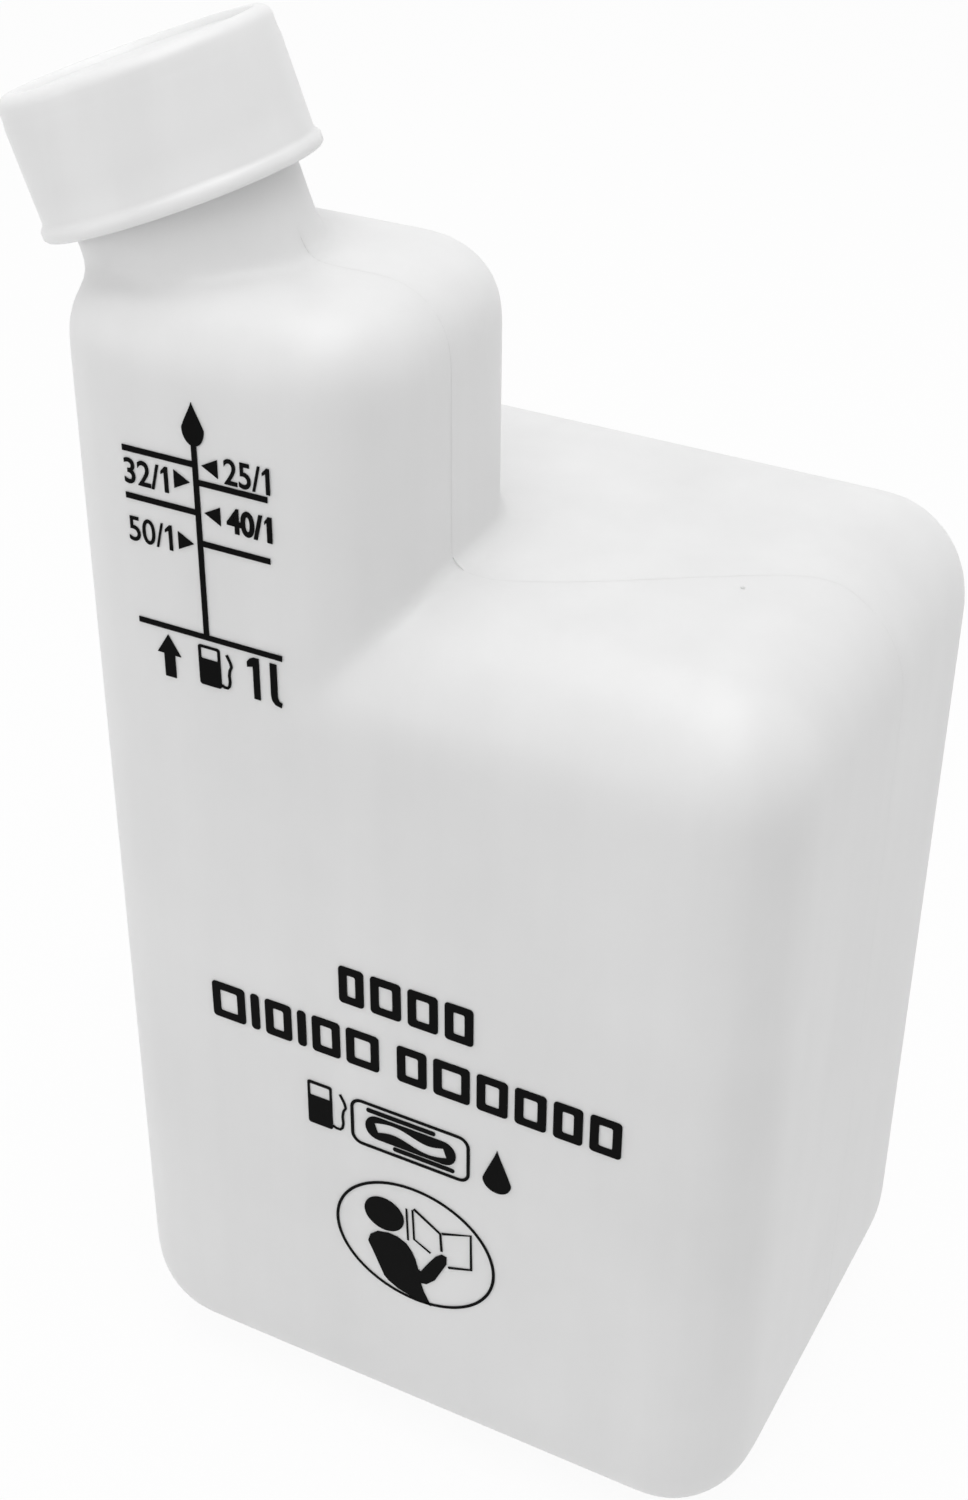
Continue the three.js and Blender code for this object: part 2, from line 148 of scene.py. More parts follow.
@dataclass(frozen=True)
class Block:
    """An upright block with rounded corners and edges.

    Attributes:
        low: Its lowest corner.
        high: Its highest corner.
        corner: Radius of the upright edges.
        top_edge: Radius of the top edges.
        base_edge: Radius of the lower edges.
    """

    low: Vector
    high: Vector
    corner: float
    top_edge: float
    base_edge: float

    def inner(self, wall: float) -> "Block":
        """Return the block that lies inside this one.

        Args:
            wall: How far inside it lies.

        Returns:
            The smaller block, with smaller radii.
        """
        step = Vector((wall, wall, wall))
        return Block(
            self.low + step,
            self.high - step,
            self.corner - wall,
            self.top_edge - wall,
            self.base_edge - wall,
        )

    def add_ring(self, bm: bmesh.types.BMesh, height: float, inset: float) -> None:
        """Add the outline's corner circles at one height.

        Args:
            bm: The mesh to add to.
            height: Height of the outline.
            inset: How far the outline lies inside the block's own.
        """
        radius = max(self.corner - inset, LEAST_RADIUS)
        for x in (self.low.x + inset + radius, self.high.x - inset - radius):
            for y in (self.low.y + inset + radius, self.high.y - inset - radius):
                place = Matrix.Translation((x, y, height))
                bmesh.ops.create_circle(bm, segments=CORNER_SEGMENTS, radius=radius, matrix=place)

    def build(self, steps: int = 14) -> bmesh.types.BMesh:
        """Build the block as the hull of its rounded outlines.

        Args:
            steps: Outlines along each rounded edge.

        Returns:
            The block's closed mesh.
        """
        bm = bmesh.new()
        for i in range(steps + 1):
            turn = math.pi / 2 * i / steps
            inset = 1 - math.cos(turn)
            rise = math.sin(turn)
            self.add_ring(bm, self.high.z - self.top_edge * (1 - rise), self.top_edge * inset)
            self.add_ring(bm, self.low.z + self.base_edge * (1 - rise), self.base_edge * inset)
        hull = bmesh.ops.convex_hull(bm, input=bm.verts)
        spare = hull["geom_interior"] + hull["geom_unused"]
        inside = {item for item in spare if isinstance(item, bmesh.types.BMVert)}
        bmesh.ops.delete(bm, geom=list(inside), context="VERTS")
        return bm


@dataclass
class Axis:
    """The neck's leaning axis and the frame that the cap turns in.

    Attributes:
        foot: Where the axis meets the tower's top.
        lean: How far the axis leans toward -X.
    """

    foot: Vector
    lean: float

    @property
    def matrix(self) -> Matrix:
        """Return the placement of an upright piece on the axis."""
        return Matrix.Translation(self.foot) @ Matrix.Rotation(-self.lean, 4, "Y")


def spin_profile(points: Sequence[tuple[float, float]], steps: int) -> bmesh.types.BMesh:
    """Turn a profile of radius and height about Z.

    Args:
        points: Radii and heights, from one end to the other.
        steps: Faces round the axis.

    Returns:
        The turned mesh.
    """
    bm = bmesh.new()
    verts = [bm.verts.new((radius, 0, height)) for radius, height in points]
    edges = [bm.edges.new(pair) for pair in zip(verts, verts[1:])]
    bmesh.ops.spin(
        bm,
        geom=verts + edges,
        cent=(0, 0, 0),
        axis=(0, 0, 1),
        angle=2 * math.pi,
        steps=steps,
        use_merge=True,
    )
    return bm


@dataclass(frozen=True)
class Thread:
    """A single-start screw thread.

    Attributes:
        pitch: Rise for each turn.
        turns: Number of turns.
        width: Width of the ridge at its root.
        start: Height of the first turn's middle.
        steps: Steps for each turn.
        chamfer: How far the ridge's shoulders lie below its crest.
        shoulder_share: Width at the shoulders, as a share of the root's.
        crest_share: Width at the crest, as a share of the root's.
        fade_turns: Turns over which each end sinks to the root.
        fade_start: How much of that fade is already over at the very end, in turns.
    """

    pitch: float = 5 * MM
    turns: float = 1.5
    width: float = 2 * MM
    start: float = 4.5 * MM
    steps: int = 96
    chamfer: float = 0.35 * MM
    shoulder_share: float = 0.62
    crest_share: float = 0.3
    fade_turns: float = 0.2
    fade_start: float = 0.12

    def build(self, root: float, crest: float, start: float) -> bmesh.types.BMesh:
        """Build the ridge by a rising spin, with both ends run out to the root.

        Args:
            root: Radius where the ridge is sunk into its wall.
            crest: Radius of its crest.
            start: Height of the first turn's middle.

        Returns:
            The ridge's closed mesh about Z.
        """
        bm = bmesh.new()
        half = self.width / 2
        toward = math.copysign(1, crest - root)
        shoulder = crest - toward * self.chamfer
        profile = [(root, -half), (shoulder, -half * self.shoulder_share)]
        profile.append((crest, -half * self.crest_share))
        profile += [(radius, -height) for radius, height in reversed(profile)]
        verts = [bm.verts.new((radius, 0, start + height)) for radius, height in profile]
        face = bm.faces.new(verts)
        count = round(self.steps * self.turns)
        bmesh.ops.spin(
            bm,
            geom=[face],
            cent=(0, 0, 0),
            axis=(0, 0, 1),
            dvec=(0, 0, self.pitch / self.steps),
            angle=2 * math.pi * self.turns,
            steps=count,
            use_duplicate=False,
        )
        self.run_out(bm, root, start)
        return bm

    def run_out(self, bm: bmesh.types.BMesh, root: float, start: float) -> None:
        """Let both ends of the ridge sink to its root.

        Args:
            bm: The ridge.
            root: Radius where it is sunk into its wall.
            start: Height of the first turn's middle.
        """
        for vert in bm.verts:
            radius = math.hypot(vert.co.x, vert.co.y)
            share = (vert.co.z - start) / (self.pitch * self.turns)
            ends = min(share, 1 - share) * self.turns
            fade = min(1.0, max(0.0, (ends + self.fade_start) / self.fade_turns))
            wanted = root + (radius - root) * fade
            vert.co.x *= wanted / radius
            vert.co.y *= wanted / radius


@dataclass
class BottleShell:
    """The blow-moulded bottle: body, tower, leaning neck and its thread.

    Attributes:
        wall: Thickness of the wall.
        neck_wall: Thickness of the neck's wall.
        step_height: Height of the step's flat top.
        corner: Radius of the upright corners.
        step_edge: Radius of the step's top edges.
        base_edge: Radius of the lower edges.
        tower_width: Width of the tower.
        tower_depth: Depth of the tower.
        tower_edge: Radius of the tower's top edges.
        tower_top: Height of the tower's flat top.
        neck_radius: Outer radius of the neck.
        neck_foot: Place of the neck's axis on the tower, from the left and from the front.
        lean: How far the neck leans.
        mouth: Distance of the mouth from the neck's foot.
        neck_sunk: How far the neck's working shape reaches down into the tower.
        neck_rise: How far it reaches up, past the mouth.
        neck_steps: Its faces round the axis.
        thread_sink: How far the thread is sunk into the neck.
        thread_depth: How far the thread's crest stands proud.
        voxel: Size of the outer skin's faces.
        inner_coarseness: Size of the inner skin's faces, as a multiple of that.
        smoothing: Strength of one smoothing pass.
        outer_passes: Smoothing passes on the outer skin.
        inner_passes: Smoothing passes on the inner skin.
        half_width: Half the body's width.
        half_depth: Half the body's depth.
        axis: The neck's axis, worked out from the body's corner.
    """

    wall: float = 1.5 * MM
    neck_wall: float = 1.8 * MM
    step_height: float = 143.3 * MM
    corner: float = 13.6 * MM
    step_edge: float = 15.3 * MM
    base_edge: float = 17.1 * MM
    tower_width: float = 48.4 * MM
    tower_depth: float = 44.5 * MM
    tower_edge: float = 9.2 * MM
    tower_top: float = 181 * MM
    neck_radius: float = 14.6 * MM
    neck_foot: tuple[float, float] = (13.1 * MM, 20.6 * MM)
    lean: float = math.radians(21.24)
    mouth: float = 19.8 * MM
    neck_sunk: float = 14 * MM
    neck_rise: float = 30 * MM
    neck_steps: int = 96
    thread_sink: float = 0.6 * MM
    thread_depth: float = 1.1 * MM
    voxel: float = 1.0 * MM
    inner_coarseness: float = 1.8
    smoothing: float = 0.5
    outer_passes: int = 16
    inner_passes: int = 5
    half_width: float = 51.5 * MM
    half_depth: float = 40 * MM
    axis: Axis = field(init=False)

    def __post_init__(self) -> None:
        """Work out the neck's axis from the body's own corner."""
        across, deep = self.neck_foot
        foot = Vector((across - self.half_width, deep - self.half_depth, self.tower_top))
        self.axis = Axis(foot, self.lean)

    def blocks(self) -> list[Block]:
        """Return the body's block and the tower's.

        Returns:
            The two blocks, flush in front and on the left.
        """
        low = Vector((-self.half_width, -self.half_depth, 0))
        body_high = Vector((self.half_width, self.half_depth, self.step_height))
        tower_high = Vector((low.x + self.tower_width, low.y + self.tower_depth, self.tower_top))
        return [
            Block(low, body_high, self.corner, self.step_edge, self.base_edge),
            Block(low, tower_high, self.corner, self.tower_edge, self.base_edge),
        ]

    def skin(
        self, name: str, wall: float, neck_wall: float, voxel: float, passes: int
    ) -> bmesh.types.BMesh:
        """Blend the body, tower and neck into one skin, cut level with the mouth.

        Args:
            name: Name of the working object.
            wall: How far the skin lies inside the outer one.
            neck_wall: The same, in the neck.
            voxel: Size of the faces.
            passes: Smoothing passes that round the inner corners.

        Returns:
            The skin, open at the mouth.
        """
        bm = bmesh.new()
        for block in self.blocks():
            self.append(bm, block.inner(wall).build())
        radius = self.neck_radius - neck_wall
        low, high = -self.neck_sunk, self.neck_rise
        neck = spin_profile([(0, low), (radius, low), (radius, high), (0, high)], self.neck_steps)
        bmesh.ops.transform(neck, matrix=self.axis.matrix, verts=neck.verts)
        self.append(bm, neck)
        shape = finish_mesh(name, bm)
        remesh = shape.modifiers.new("remesh", "REMESH")
        remesh.mode = "VOXEL"
        remesh.voxel_size = voxel
        smooth = shape.modifiers.new("smooth", "SMOOTH")
        smooth.factor = self.smoothing
        smooth.iterations = passes
        bake_modifiers(shape)
        skin = bmesh.new()
        skin.from_mesh(shape.data)
        bpy.data.objects.remove(shape)
        mouth = self.axis.matrix @ Vector((0, 0, self.mouth))
        cut = skin.verts[:] + skin.edges[:] + skin.faces[:]
        normal = self.axis.matrix.to_3x3() @ Vector((0, 0, 1))
        bmesh.ops.bisect_plane(skin, geom=cut, plane_co=mouth, plane_no=normal, clear_outer=True)
        return skin

    @staticmethod
    def append(target: bmesh.types.BMesh, extra: bmesh.types.BMesh) -> None:
        """Move one mesh into another.

        Args:
            target: The mesh that grows.
            extra: The mesh to move, freed afterwards.
        """
        mesh = bpy.data.meshes.new("joined")
        extra.to_mesh(mesh)
        extra.free()
        target.from_mesh(mesh)
        bpy.data.meshes.remove(mesh)

    def build(self, material: bpy.types.Material, thread: Thread, lift: float) -> bpy.types.Object:
        """Build the hollow shell with its thread, and dress it.

        Args:
            material: The bottle's finish.
            thread: The screw thread.
            lift: Height of the cap's lower edge above the foot of the neck.

        Returns:
            The finished piece.
        """
        inner_voxel = self.voxel * self.inner_coarseness
        bm = self.skin("outer_skin", 0, 0, self.voxel, self.outer_passes)
        inner = self.skin("inner_skin", self.wall, self.neck_wall, inner_voxel, self.inner_passes)
        bmesh.ops.reverse_faces(inner, faces=inner.faces)
        self.append(bm, inner)
        rim = [edge for edge in bm.edges if edge.is_boundary]
        bmesh.ops.bridge_loops(bm, edges=rim)
        bmesh.ops.recalc_face_normals(bm, faces=bm.faces)
        root, crest = self.neck_radius - self.thread_sink, self.neck_radius + self.thread_depth
        ridge = thread.build(root, crest, lift + thread.start)
        bmesh.ops.recalc_face_normals(ridge, faces=ridge.faces)
        bmesh.ops.transform(ridge, matrix=self.axis.matrix, verts=ridge.verts)
        self.append(bm, ridge)
        piece = finish_mesh("bottle_shell", bm, weld=False)
        shade_smooth(piece)
        dress(piece, material, Slot.BOTTLE, Body.BOTTLE, "bottle")
        return piece


@dataclass
class MouldSeam:
    """The fine raised line where the two halves of the mould met, with its stepped run.

    Attributes:
        tower_run: Its stretch along X over the tower, in millimetres.
        tower_drop: Its stretch down the tower's side, in millimetres.
        step_run: Its stretch along X over the step, in millimetres.
        body_drop: Its stretch down the body's side, in millimetres.
        step: Distance between its points, in millimetres.
        above: Height from which its place is felt for.
        beside: Place at the right from which its place is felt for.
        climb: How far it may rise over the tower's flat top.
        tower_y: Its place on the tower.
        body_y: Its place on the body.
        swing: Where it swings over from one place to the other, along X.
        straight_share: How straight that swing is.
        radius: Radius of the line.
        sink: How far the line is sunk into the skin.
        pip_place: Place of the moulding pip.
        pip_radius: Radius of the pip.
        pip_flatness: Height of the pip, as a share of its radius.
    """

    tower_run: tuple[float, float] = (-30, -5.8)
    tower_drop: tuple[float, float] = (178.3, 145.1)
    step_run: tuple[float, float] = (-1.3, 47)
    body_drop: tuple[float, float] = (138.8, 8)
    step: float = 0.4
    above: float = 250 * MM
    beside: float = 90 * MM
    climb: float = 4 * MM
    tower_y: float = -19.4 * MM
    body_y: float = 2.4 * MM
    swing: tuple[float, float] = (2.7 * MM, 42 * MM)
    straight_share: float = 0.6
    radius: float = 0.1 * MM
    sink: float = 0.085 * MM
    pip_place: tuple[float, float] = (31.6 * MM, -6.3 * MM)
    pip_radius: float = 0.32 * MM
    pip_flatness: float = 0.6

    def depth_at(self, x: float) -> float:
        """Return the seam's Y.

        Args:
            x: The place across the bottle.

        Returns:
            The seam's Y there.
        """
        share = min(1.0, max(0.0, (x - self.swing[0]) / (self.swing[1] - self.swing[0])))
        eased = share * share * (3 - 2 * share)
        blend = self.straight_share * share + (1 - self.straight_share) * eased
        return self.tower_y + (self.body_y - self.tower_y) * blend

    def rays(self) -> list[tuple[Vector, Vector]]:
        """Return the rays that find the seam.

        Returns:
            Their starts and directions, from the neck to the base.
        """
        rays = self.falling(self.tower_run) + self.sideways(self.tower_y, self.tower_drop)
        return rays + self.falling(self.step_run) + self.sideways(self.body_y, self.body_drop)

    def falling(self, run: tuple[float, float]) -> list[tuple[Vector, Vector]]:
        """Return rays that fall on the seam's own path, along one stretch of X."""
        places = [x * MM for x in self.run_of(run)]
        return [(Vector((x, self.depth_at(x), self.above)), Vector((0, 0, -1))) for x in places]

    def sideways(self, y: float, run: tuple[float, float]) -> list[tuple[Vector, Vector]]:
        """Return level rays from the right at one Y, down one stretch of height."""
        places = [z * MM for z in self.run_of(run)]
        return [(Vector((self.beside, y, z)), Vector((-1, 0, 0))) for z in places]

    def run_of(self, run: tuple[float, float]) -> list[float]:
        """Return evenly spaced places.

        Args:
            run: Start and end of the stretch, in millimetres.

        Returns:
            The places, both ends included.
        """
        start, end = run
        count = round(abs(end - start) / self.step)
        return [start + (end - start) * i / count for i in range(count + 1)]

    def build(
        self, shell: bpy.types.Object, material: bpy.types.Material, top: float
    ) -> bpy.types.Object:
        """Lay the line on the shell.

        Args:
            shell: The bottle.
            material: The bottle's finish.
            top: Height of the tower's flat top.

        Returns:
            The finished piece.
        """
        tree = BVHTree.FromObject(shell, bpy.context.evaluated_depsgraph_get())
        points = []
        for start, direction in self.rays():
            hit, normal, _, _ = tree.ray_cast(start, direction)
            if hit and hit.z < top + self.climb:
                points.append(hit - normal * self.sink)
        curve = bpy.data.curves.new("seam_path", "CURVE")
        curve.dimensions = "3D"
        curve.bevel_depth = self.radius
        curve.bevel_resolution = 2
        curve.use_fill_caps = True
        spline = curve.splines.new("POLY")
        spline.points.add(len(points) - 1)
        for point, place in zip(spline.points, points):
            point.co = (*place, 1)
        piece = from_curve("mould_seam", curve)
        dress(piece, material, Slot.BOTTLE, Body.BOTTLE)
        self.pip(tree, material)
        return piece

    def pip(self, tree: BVHTree, material: bpy.types.Material) -> None:
        """Lay the tiny moulding pip on the step's top.

        Args:
            tree: The bottle's surface.
            material: The bottle's finish.
        """
        above = Vector((*self.pip_place, self.above))
        hit, _, _, _ = tree.ray_cast(above, Vector((0, 0, -1)))
        bm = bmesh.new()
        bmesh.ops.create_icosphere(bm, subdivisions=3, radius=self.pip_radius)
        bmesh.ops.scale(bm, vec=(1, 1, self.pip_flatness), verts=bm.verts)
        bmesh.ops.translate(bm, vec=hit, verts=bm.verts)
        piece = finish_mesh("moulding_pip", bm)
        shade_smooth(piece)
        dress(piece, material, Slot.BOTTLE, Body.BOTTLE)


def from_curve(name: str, curve: bpy.types.Curve, place: Matrix = Matrix()) -> bpy.types.Object:
    """Make a mesh piece from a curve or text, with its place in its mesh.

    Args:
        name: The piece's name.
        curve: The curve or text data.
        place: Where it goes.

    Returns:
        The mesh piece.
    """
    holder = bpy.data.objects.new(name + "_path", curve)
    bpy.context.scene.collection.objects.link(holder)
    depsgraph = bpy.context.evaluated_depsgraph_get()
    mesh = bpy.data.meshes.new_from_object(holder.evaluated_get(depsgraph))
    bpy.data.objects.remove(holder)
    mesh.transform(place)
    mesh.name = name
    piece = bpy.data.objects.new(name, mesh)
    bpy.context.scene.collection.objects.link(piece)
    return piece


@dataclass
class ScrewCap:
    """The screw cap: bead, skirt, small step, rounded top edge, sunk top and inner thread.

    An edge with two sizes goes so far across and so far up or down.

    Attributes:
        height: Its full height.
        radius: Radius of the skirt.
        bore: Radius of the bore.
        top_wall: Thickness of the top.
        recess: Depth of the sunk top.
        step: How far the skirt steps in near the top.
        step_drop: Distance of that step from the top.
        rounding: Radius of the top's outer edge.
        rim: Width of the rim round the sunk top.
        bead: How far the lower bead stands proud.
        bead_height: Height of the bead.
        low_bead: How far it stands proud where it is trimmed back.
        bead_gap: Where it is trimmed back, as angles.
        bead_edge: Edge at the bead's foot.
        bead_shoulder: Edge at the bead's top.
        bead_flare: Hollow edge where the bead meets the skirt.
        skirt_foot: Distance from the bead to the straight skirt.
        mouth_edge: Edge of the bore's mouth.
        ceiling_edge: Edge between the bore and its ceiling.
        step_ease: Half the height of the step.
        rim_edge: Inner edge of the rim.
        recess_edge: Hollow edge at the foot of the rim.
        recess_ease: Distance from the rim to the flat of the sunk top.
        dish: How far the sunk top falls, half way in and in its middle.
        rounding_steps: Faces of the top's outer edge.
        thread_crest: Radius of the thread's crest.
        thread_sink: How far the thread is sunk into its wall.
        steps: Faces round the axis.
        lift: Height of its lower edge above the foot of the neck.
    """

    height: float = 17.8 * MM
    radius: float = 17.78 * MM
    bore: float = 16.05 * MM
    top_wall: float = 1.5 * MM
    recess: float = 1.0 * MM
    step: float = 0.14 * MM
    step_drop: float = 3.4 * MM
    rounding: float = 1.6 * MM
    rim: float = 2.2 * MM
    bead: float = 0.6 * MM
    bead_height: float = 1.8 * MM
    low_bead: float = 0.15 * MM
    bead_gap: tuple[float, float] = (math.radians(168), math.radians(222))
    bead_edge: float = 0.35 * MM
    bead_shoulder: tuple[float, float] = (0.3 * MM, 0.4 * MM)
    bead_flare: tuple[float, float] = (0.12 * MM, 0.2 * MM)
    skirt_foot: float = 0.6 * MM
    mouth_edge: tuple[float, float] = (0.4 * MM, 0.5 * MM)
    ceiling_edge: float = 0.6 * MM
    step_ease: float = 0.5 * MM
    rim_edge: tuple[float, float] = (0.3 * MM, 0.15 * MM)
    recess_edge: tuple[float, float] = (0.35 * MM, 0.1 * MM)
    recess_ease: float = 0.8 * MM
    dish: tuple[float, float] = (0.1 * MM, 0.15 * MM)
    rounding_steps: int = 7
    thread_crest: float = 14.95 * MM
    thread_sink: float = 0.6 * MM
    steps: int = 180
    lift: float = 6.1 * MM

    def inside(self) -> list[tuple[float, float]]:
        """Return the section's inner part, from the ceiling's middle down to the mouth."""
        ceiling = self.height - self.recess - self.top_wall
        across, up = self.mouth_edge
        return [
            (0, ceiling),
            (self.bore * 0.5, ceiling),
            (self.bore - self.ceiling_edge, ceiling),
            (self.bore, ceiling - self.ceiling_edge),
            (self.bore, up),
            (self.bore + across, 0),
        ]

    def skirt(self) -> list[tuple[float, float]]:
        """Return the section's outer part, from the bead's foot up over the small step."""
        proud = self.radius + self.bead
        shoulder, shoulder_drop = self.bead_shoulder
        flare, flare_rise = self.bead_flare
        step_z = self.height - self.step_drop
        return [
            (proud - self.bead_edge, 0),
            (proud, self.bead_edge),
            (proud, self.bead_height - shoulder_drop),
            (proud - shoulder, self.bead_height),
            (self.radius + flare, self.bead_height + flare_rise),
            (self.radius, self.bead_height + self.skirt_foot),
            (self.radius, step_z - self.step_ease),
            (self.radius - self.step / 2, step_z),
            (self.radius - self.step, step_z + self.step_ease),
        ]

    def top(self) -> list[tuple[float, float]]:
        """Return the section's top, from the rounded edge in to the middle of the sunk top."""
        upper = self.radius - self.step
        inner = upper - self.rim
        floor = self.height - self.recess
        across, up = upper - self.rounding, self.height - self.rounding
        rim_out, rim_drop = self.rim_edge
        edge_in, edge_rise = self.recess_edge
        points = []
        for i in range(self.rounding_steps + 1):
            turn = math.pi / 2 * i / self.rounding_steps
            out, rise = self.rounding * math.cos(turn), self.rounding * math.sin(turn)
            points.append((across + out, up + rise))
        return points + [
            (inner + rim_out, self.height),
            (inner, self.height - rim_drop),
            (inner - edge_in, floor + edge_rise),
            (inner - self.recess_ease, floor),
            (inner * 0.5, floor - self.dish[0]),
            (0, floor - self.dish[1]),
        ]

    def thin_bead(self, bm: bmesh.types.BMesh) -> None:
        """Draw the bead in over the stretch where the real one is trimmed back.

        Args:
            bm: The cap's turned mesh, upright about Z.
        """
        start, end = self.bead_gap
        for vert in bm.verts:
            radius = math.hypot(vert.co.x, vert.co.y)
            angle = math.atan2(vert.co.y, vert.co.x) % (2 * math.pi)
            if radius > self.radius + PROUD and start < angle < end:
                wanted = self.radius + (radius - self.radius) * self.low_bead / self.bead
                vert.co.x *= wanted / radius
                vert.co.y *= wanted / radius

    def build(self, axis: Axis, material: bpy.types.Material, thread: Thread) -> bpy.types.Object:
        """Build the cap on the neck's axis, and dress it.

        Args:
            axis: The neck's axis.
            material: The cap's finish.
            thread: The screw thread.

        Returns:
            The finished piece.
        """
        bm = spin_profile(self.inside() + self.skirt() + self.top(), self.steps)
        bmesh.ops.remove_doubles(bm, verts=bm.verts, dist=WELD)
        bmesh.ops.recalc_face_normals(bm, faces=bm.faces)
        self.thin_bead(bm)
        start = thread.start - thread.pitch / 2
        ridge = thread.build(self.bore + self.thread_sink, self.thread_crest, start)
        bmesh.ops.recalc_face_normals(ridge, faces=ridge.faces)
        BottleShell.append(bm, ridge)
        place = axis.matrix @ Matrix.Translation((0, 0, self.lift))
        bmesh.ops.transform(bm, matrix=place, verts=bm.verts)
        piece = finish_mesh("screw_cap", bm, weld=False)
        shade_smooth(piece, CRISP_ANGLE)
        dress(piece, material, Slot.CAP, Body.CAP, "cap")
        return piece


@dataclass
class SealDisc:
    """The soft disc that closes the mouth under the cap's top.

    Attributes:
        radius: Its radius.
        thickness: Its thickness.
        edge: Size of its edges.
        lift: Height of its lower face above the foot of the neck.
        steps: Faces round the axis.
    """

    radius: float = 15.7 * MM
    thickness: float = 1 * MM
    edge: float = 0.25 * MM
    lift: float = 20.1 * MM
    steps: int = 120

    def build(self, axis: Axis, material: bpy.types.Material) -> bpy.types.Object:
        """Build the disc on the neck's axis, and dress it.

        Args:
            axis: The neck's axis.
            material: The disc's finish.

        Returns:
            The finished piece.
        """
        inner = self.radius - self.edge
        points = [(0, 0), (inner, 0), (self.radius, self.edge)]
        points += [(self.radius, self.thickness - self.edge)]
        points += [(inner, self.thickness), (0, self.thickness)]
        bm = spin_profile(points, self.steps)
        place = axis.matrix @ Matrix.Translation((0, 0, self.lift))
        bmesh.ops.transform(bm, matrix=place, verts=bm.verts)
        piece = finish_mesh("seal_disc", bm)
        shade_smooth(piece)
        dress(piece, material, Slot.SEAL, Body.SEAL, "cap_seal")
        return piece


Outline = list[tuple[float, float]]


def arc(
    x: float, z: float, rx: float, rz: float, start: float, end: float, steps: int = ARC_STEPS
) -> Outline:
    """Return points on an elliptic arc.

    Args:
        x: Its centre, across.
        z: Its centre, up.
        rx: Its radius, across.
        rz: Its radius, up.
        start: Where it starts, in degrees.
        end: Where it ends, in degrees.
        steps: Its number of chords.

    Returns:
        The points, both ends included.
    """
    points = []
    for i in range(steps + 1):
        turn = math.radians(start + (end - start) * i / steps)
        points.append((x + rx * math.cos(turn), z + rz * math.sin(turn)))
    return points


def rounded_bar(x: float, z: float, length: float, height: float, radius: float) -> Outline:
    """Return a bar with rounded corners.

    Args:
        x: Its centre, across.
        z: Its centre, up.
        length: Its length, across.
        height: Its height.
        radius: Radius of its corners.

    Returns:
        Its closed outline.
    """
    half_l = length / 2 - radius
    half_h = height / 2 - radius
    points: Outline = []
    for index, (sx, sz) in enumerate(((1, 1), (-1, 1), (-1, -1), (1, -1))):
        start = 90 * index
        across, up = x + sx * half_l, z + sz * half_h
        points += arc(across, up, radius, radius, start, start + 90, CORNER_STEPS)
    return points


def stroke(points: Outline, width: float) -> Outline:
    """Return the outline of a drawn line.

    Args:
        points: The places that it runs through.
        width: Its even width.

    Returns:
        Its closed outline.
    """
    left: Outline = []
    right: Outline = []
    for i, (x, z) in enumerate(points):
        before = points[max(i - 1, 0)]
        after = points[min(i + 1, len(points) - 1)]
        along = Vector((after[0] - before[0], after[1] - before[1])).normalized()
        left.append((x - along.y * width / 2, z + along.x * width / 2))
        right.append((x + along.y * width / 2, z - along.x * width / 2))
    return left + right[::-1]


# Sides of a drop above its belly
DROP_STEPS = 12
DROP_TAPER = 1.25
DROP_SWELL = 0.35


def drop(x: float, z: float, width: float, height: float, belly: float) -> Outline:
    """Return a drop, round below and pointed above.

    Args:
        x: Its centre, across.
        z: Its centre, up.
        width: Its width.
        height: Its height.
        belly: Where it is widest, as a share of its height.

    Returns:
        Its closed outline.
    """
    radius = width / 2
    lower = height * belly
    base = z - height / 2 + lower
    points = arc(x, base, radius, lower, 180, 360)
    rise = z + height / 2 - base
    shares = [i / DROP_STEPS for i in range(1, DROP_STEPS)]
    bulges = [(t, (1 - t) ** DROP_TAPER * (1 + DROP_SWELL * t)) for t in shares]
    points += [(x + radius * bulge, base + rise * t) for t, bulge in bulges]
    points.append((x, z + height / 2))
    points += [(x - radius * bulge, base + rise * t) for t, bulge in reversed(bulges)]
    return points


def figure_one(right: float, base: float, height: float, stem: float, flag: float) -> Outline:
    """Return a figure one with its flag.

    Args:
        right: Its right edge.
        base: Its foot.
        height: Its height.
        stem: Width of its stem.
        flag: Its full width with the flag.

    Returns:
        Its closed outline.
    """
    top = base + height
    return [
        (right - stem, base),
        (right, base),
        (right, top),
        (right - stem * 0.75, top),
        (right - flag, top - height * 0.2),
        (right - flag, top - height * 0.33),
        (right - stem, top - height * 0.23),
    ]


@dataclass(frozen=True)
class RatioMark:
    """One mixing ratio on the scale, heights in millimetres.

    Attributes:
        name: The ratio's first number.
        line_z: Height of its line.
        label_z: Height of the middle of its numbers.
        pointer_z: Height of its pointer.
        side: -1 where its line runs left and its numbers stand right, 1 the other way round.
        weight: How far its figures are thickened.
    """

    name: str
    line_z: float
    label_z: float
    pointer_z: float
    side: int
    weight: float


RATIO_MARKS = (
    RatioMark("25", 161.25, 161.4, 161.4, -1, 0.012),
    RatioMark("32", 158.95, 158.2, 158.65, 1, 0.012),
    RatioMark("40", 154.75, 154.9, 155.0, -1, 0.035),
    RatioMark("50", 150.6, 150.2, 150.2, 1, 0.004),
)


@dataclass(frozen=True)
class WordRow:
    """One row of plain blocks that stands for words, in millimetres.

    Attributes:
        name: The row's name.
        start: Where it starts, across.
        z: Height of its middle.
        gap: Gap between its blocks.
        widths: Widths of its blocks.
        node: The CAD node that the row stands for.
    """

    name: str
    start: float
    z: float
    gap: float
    widths: tuple[float, ...]
    node: str


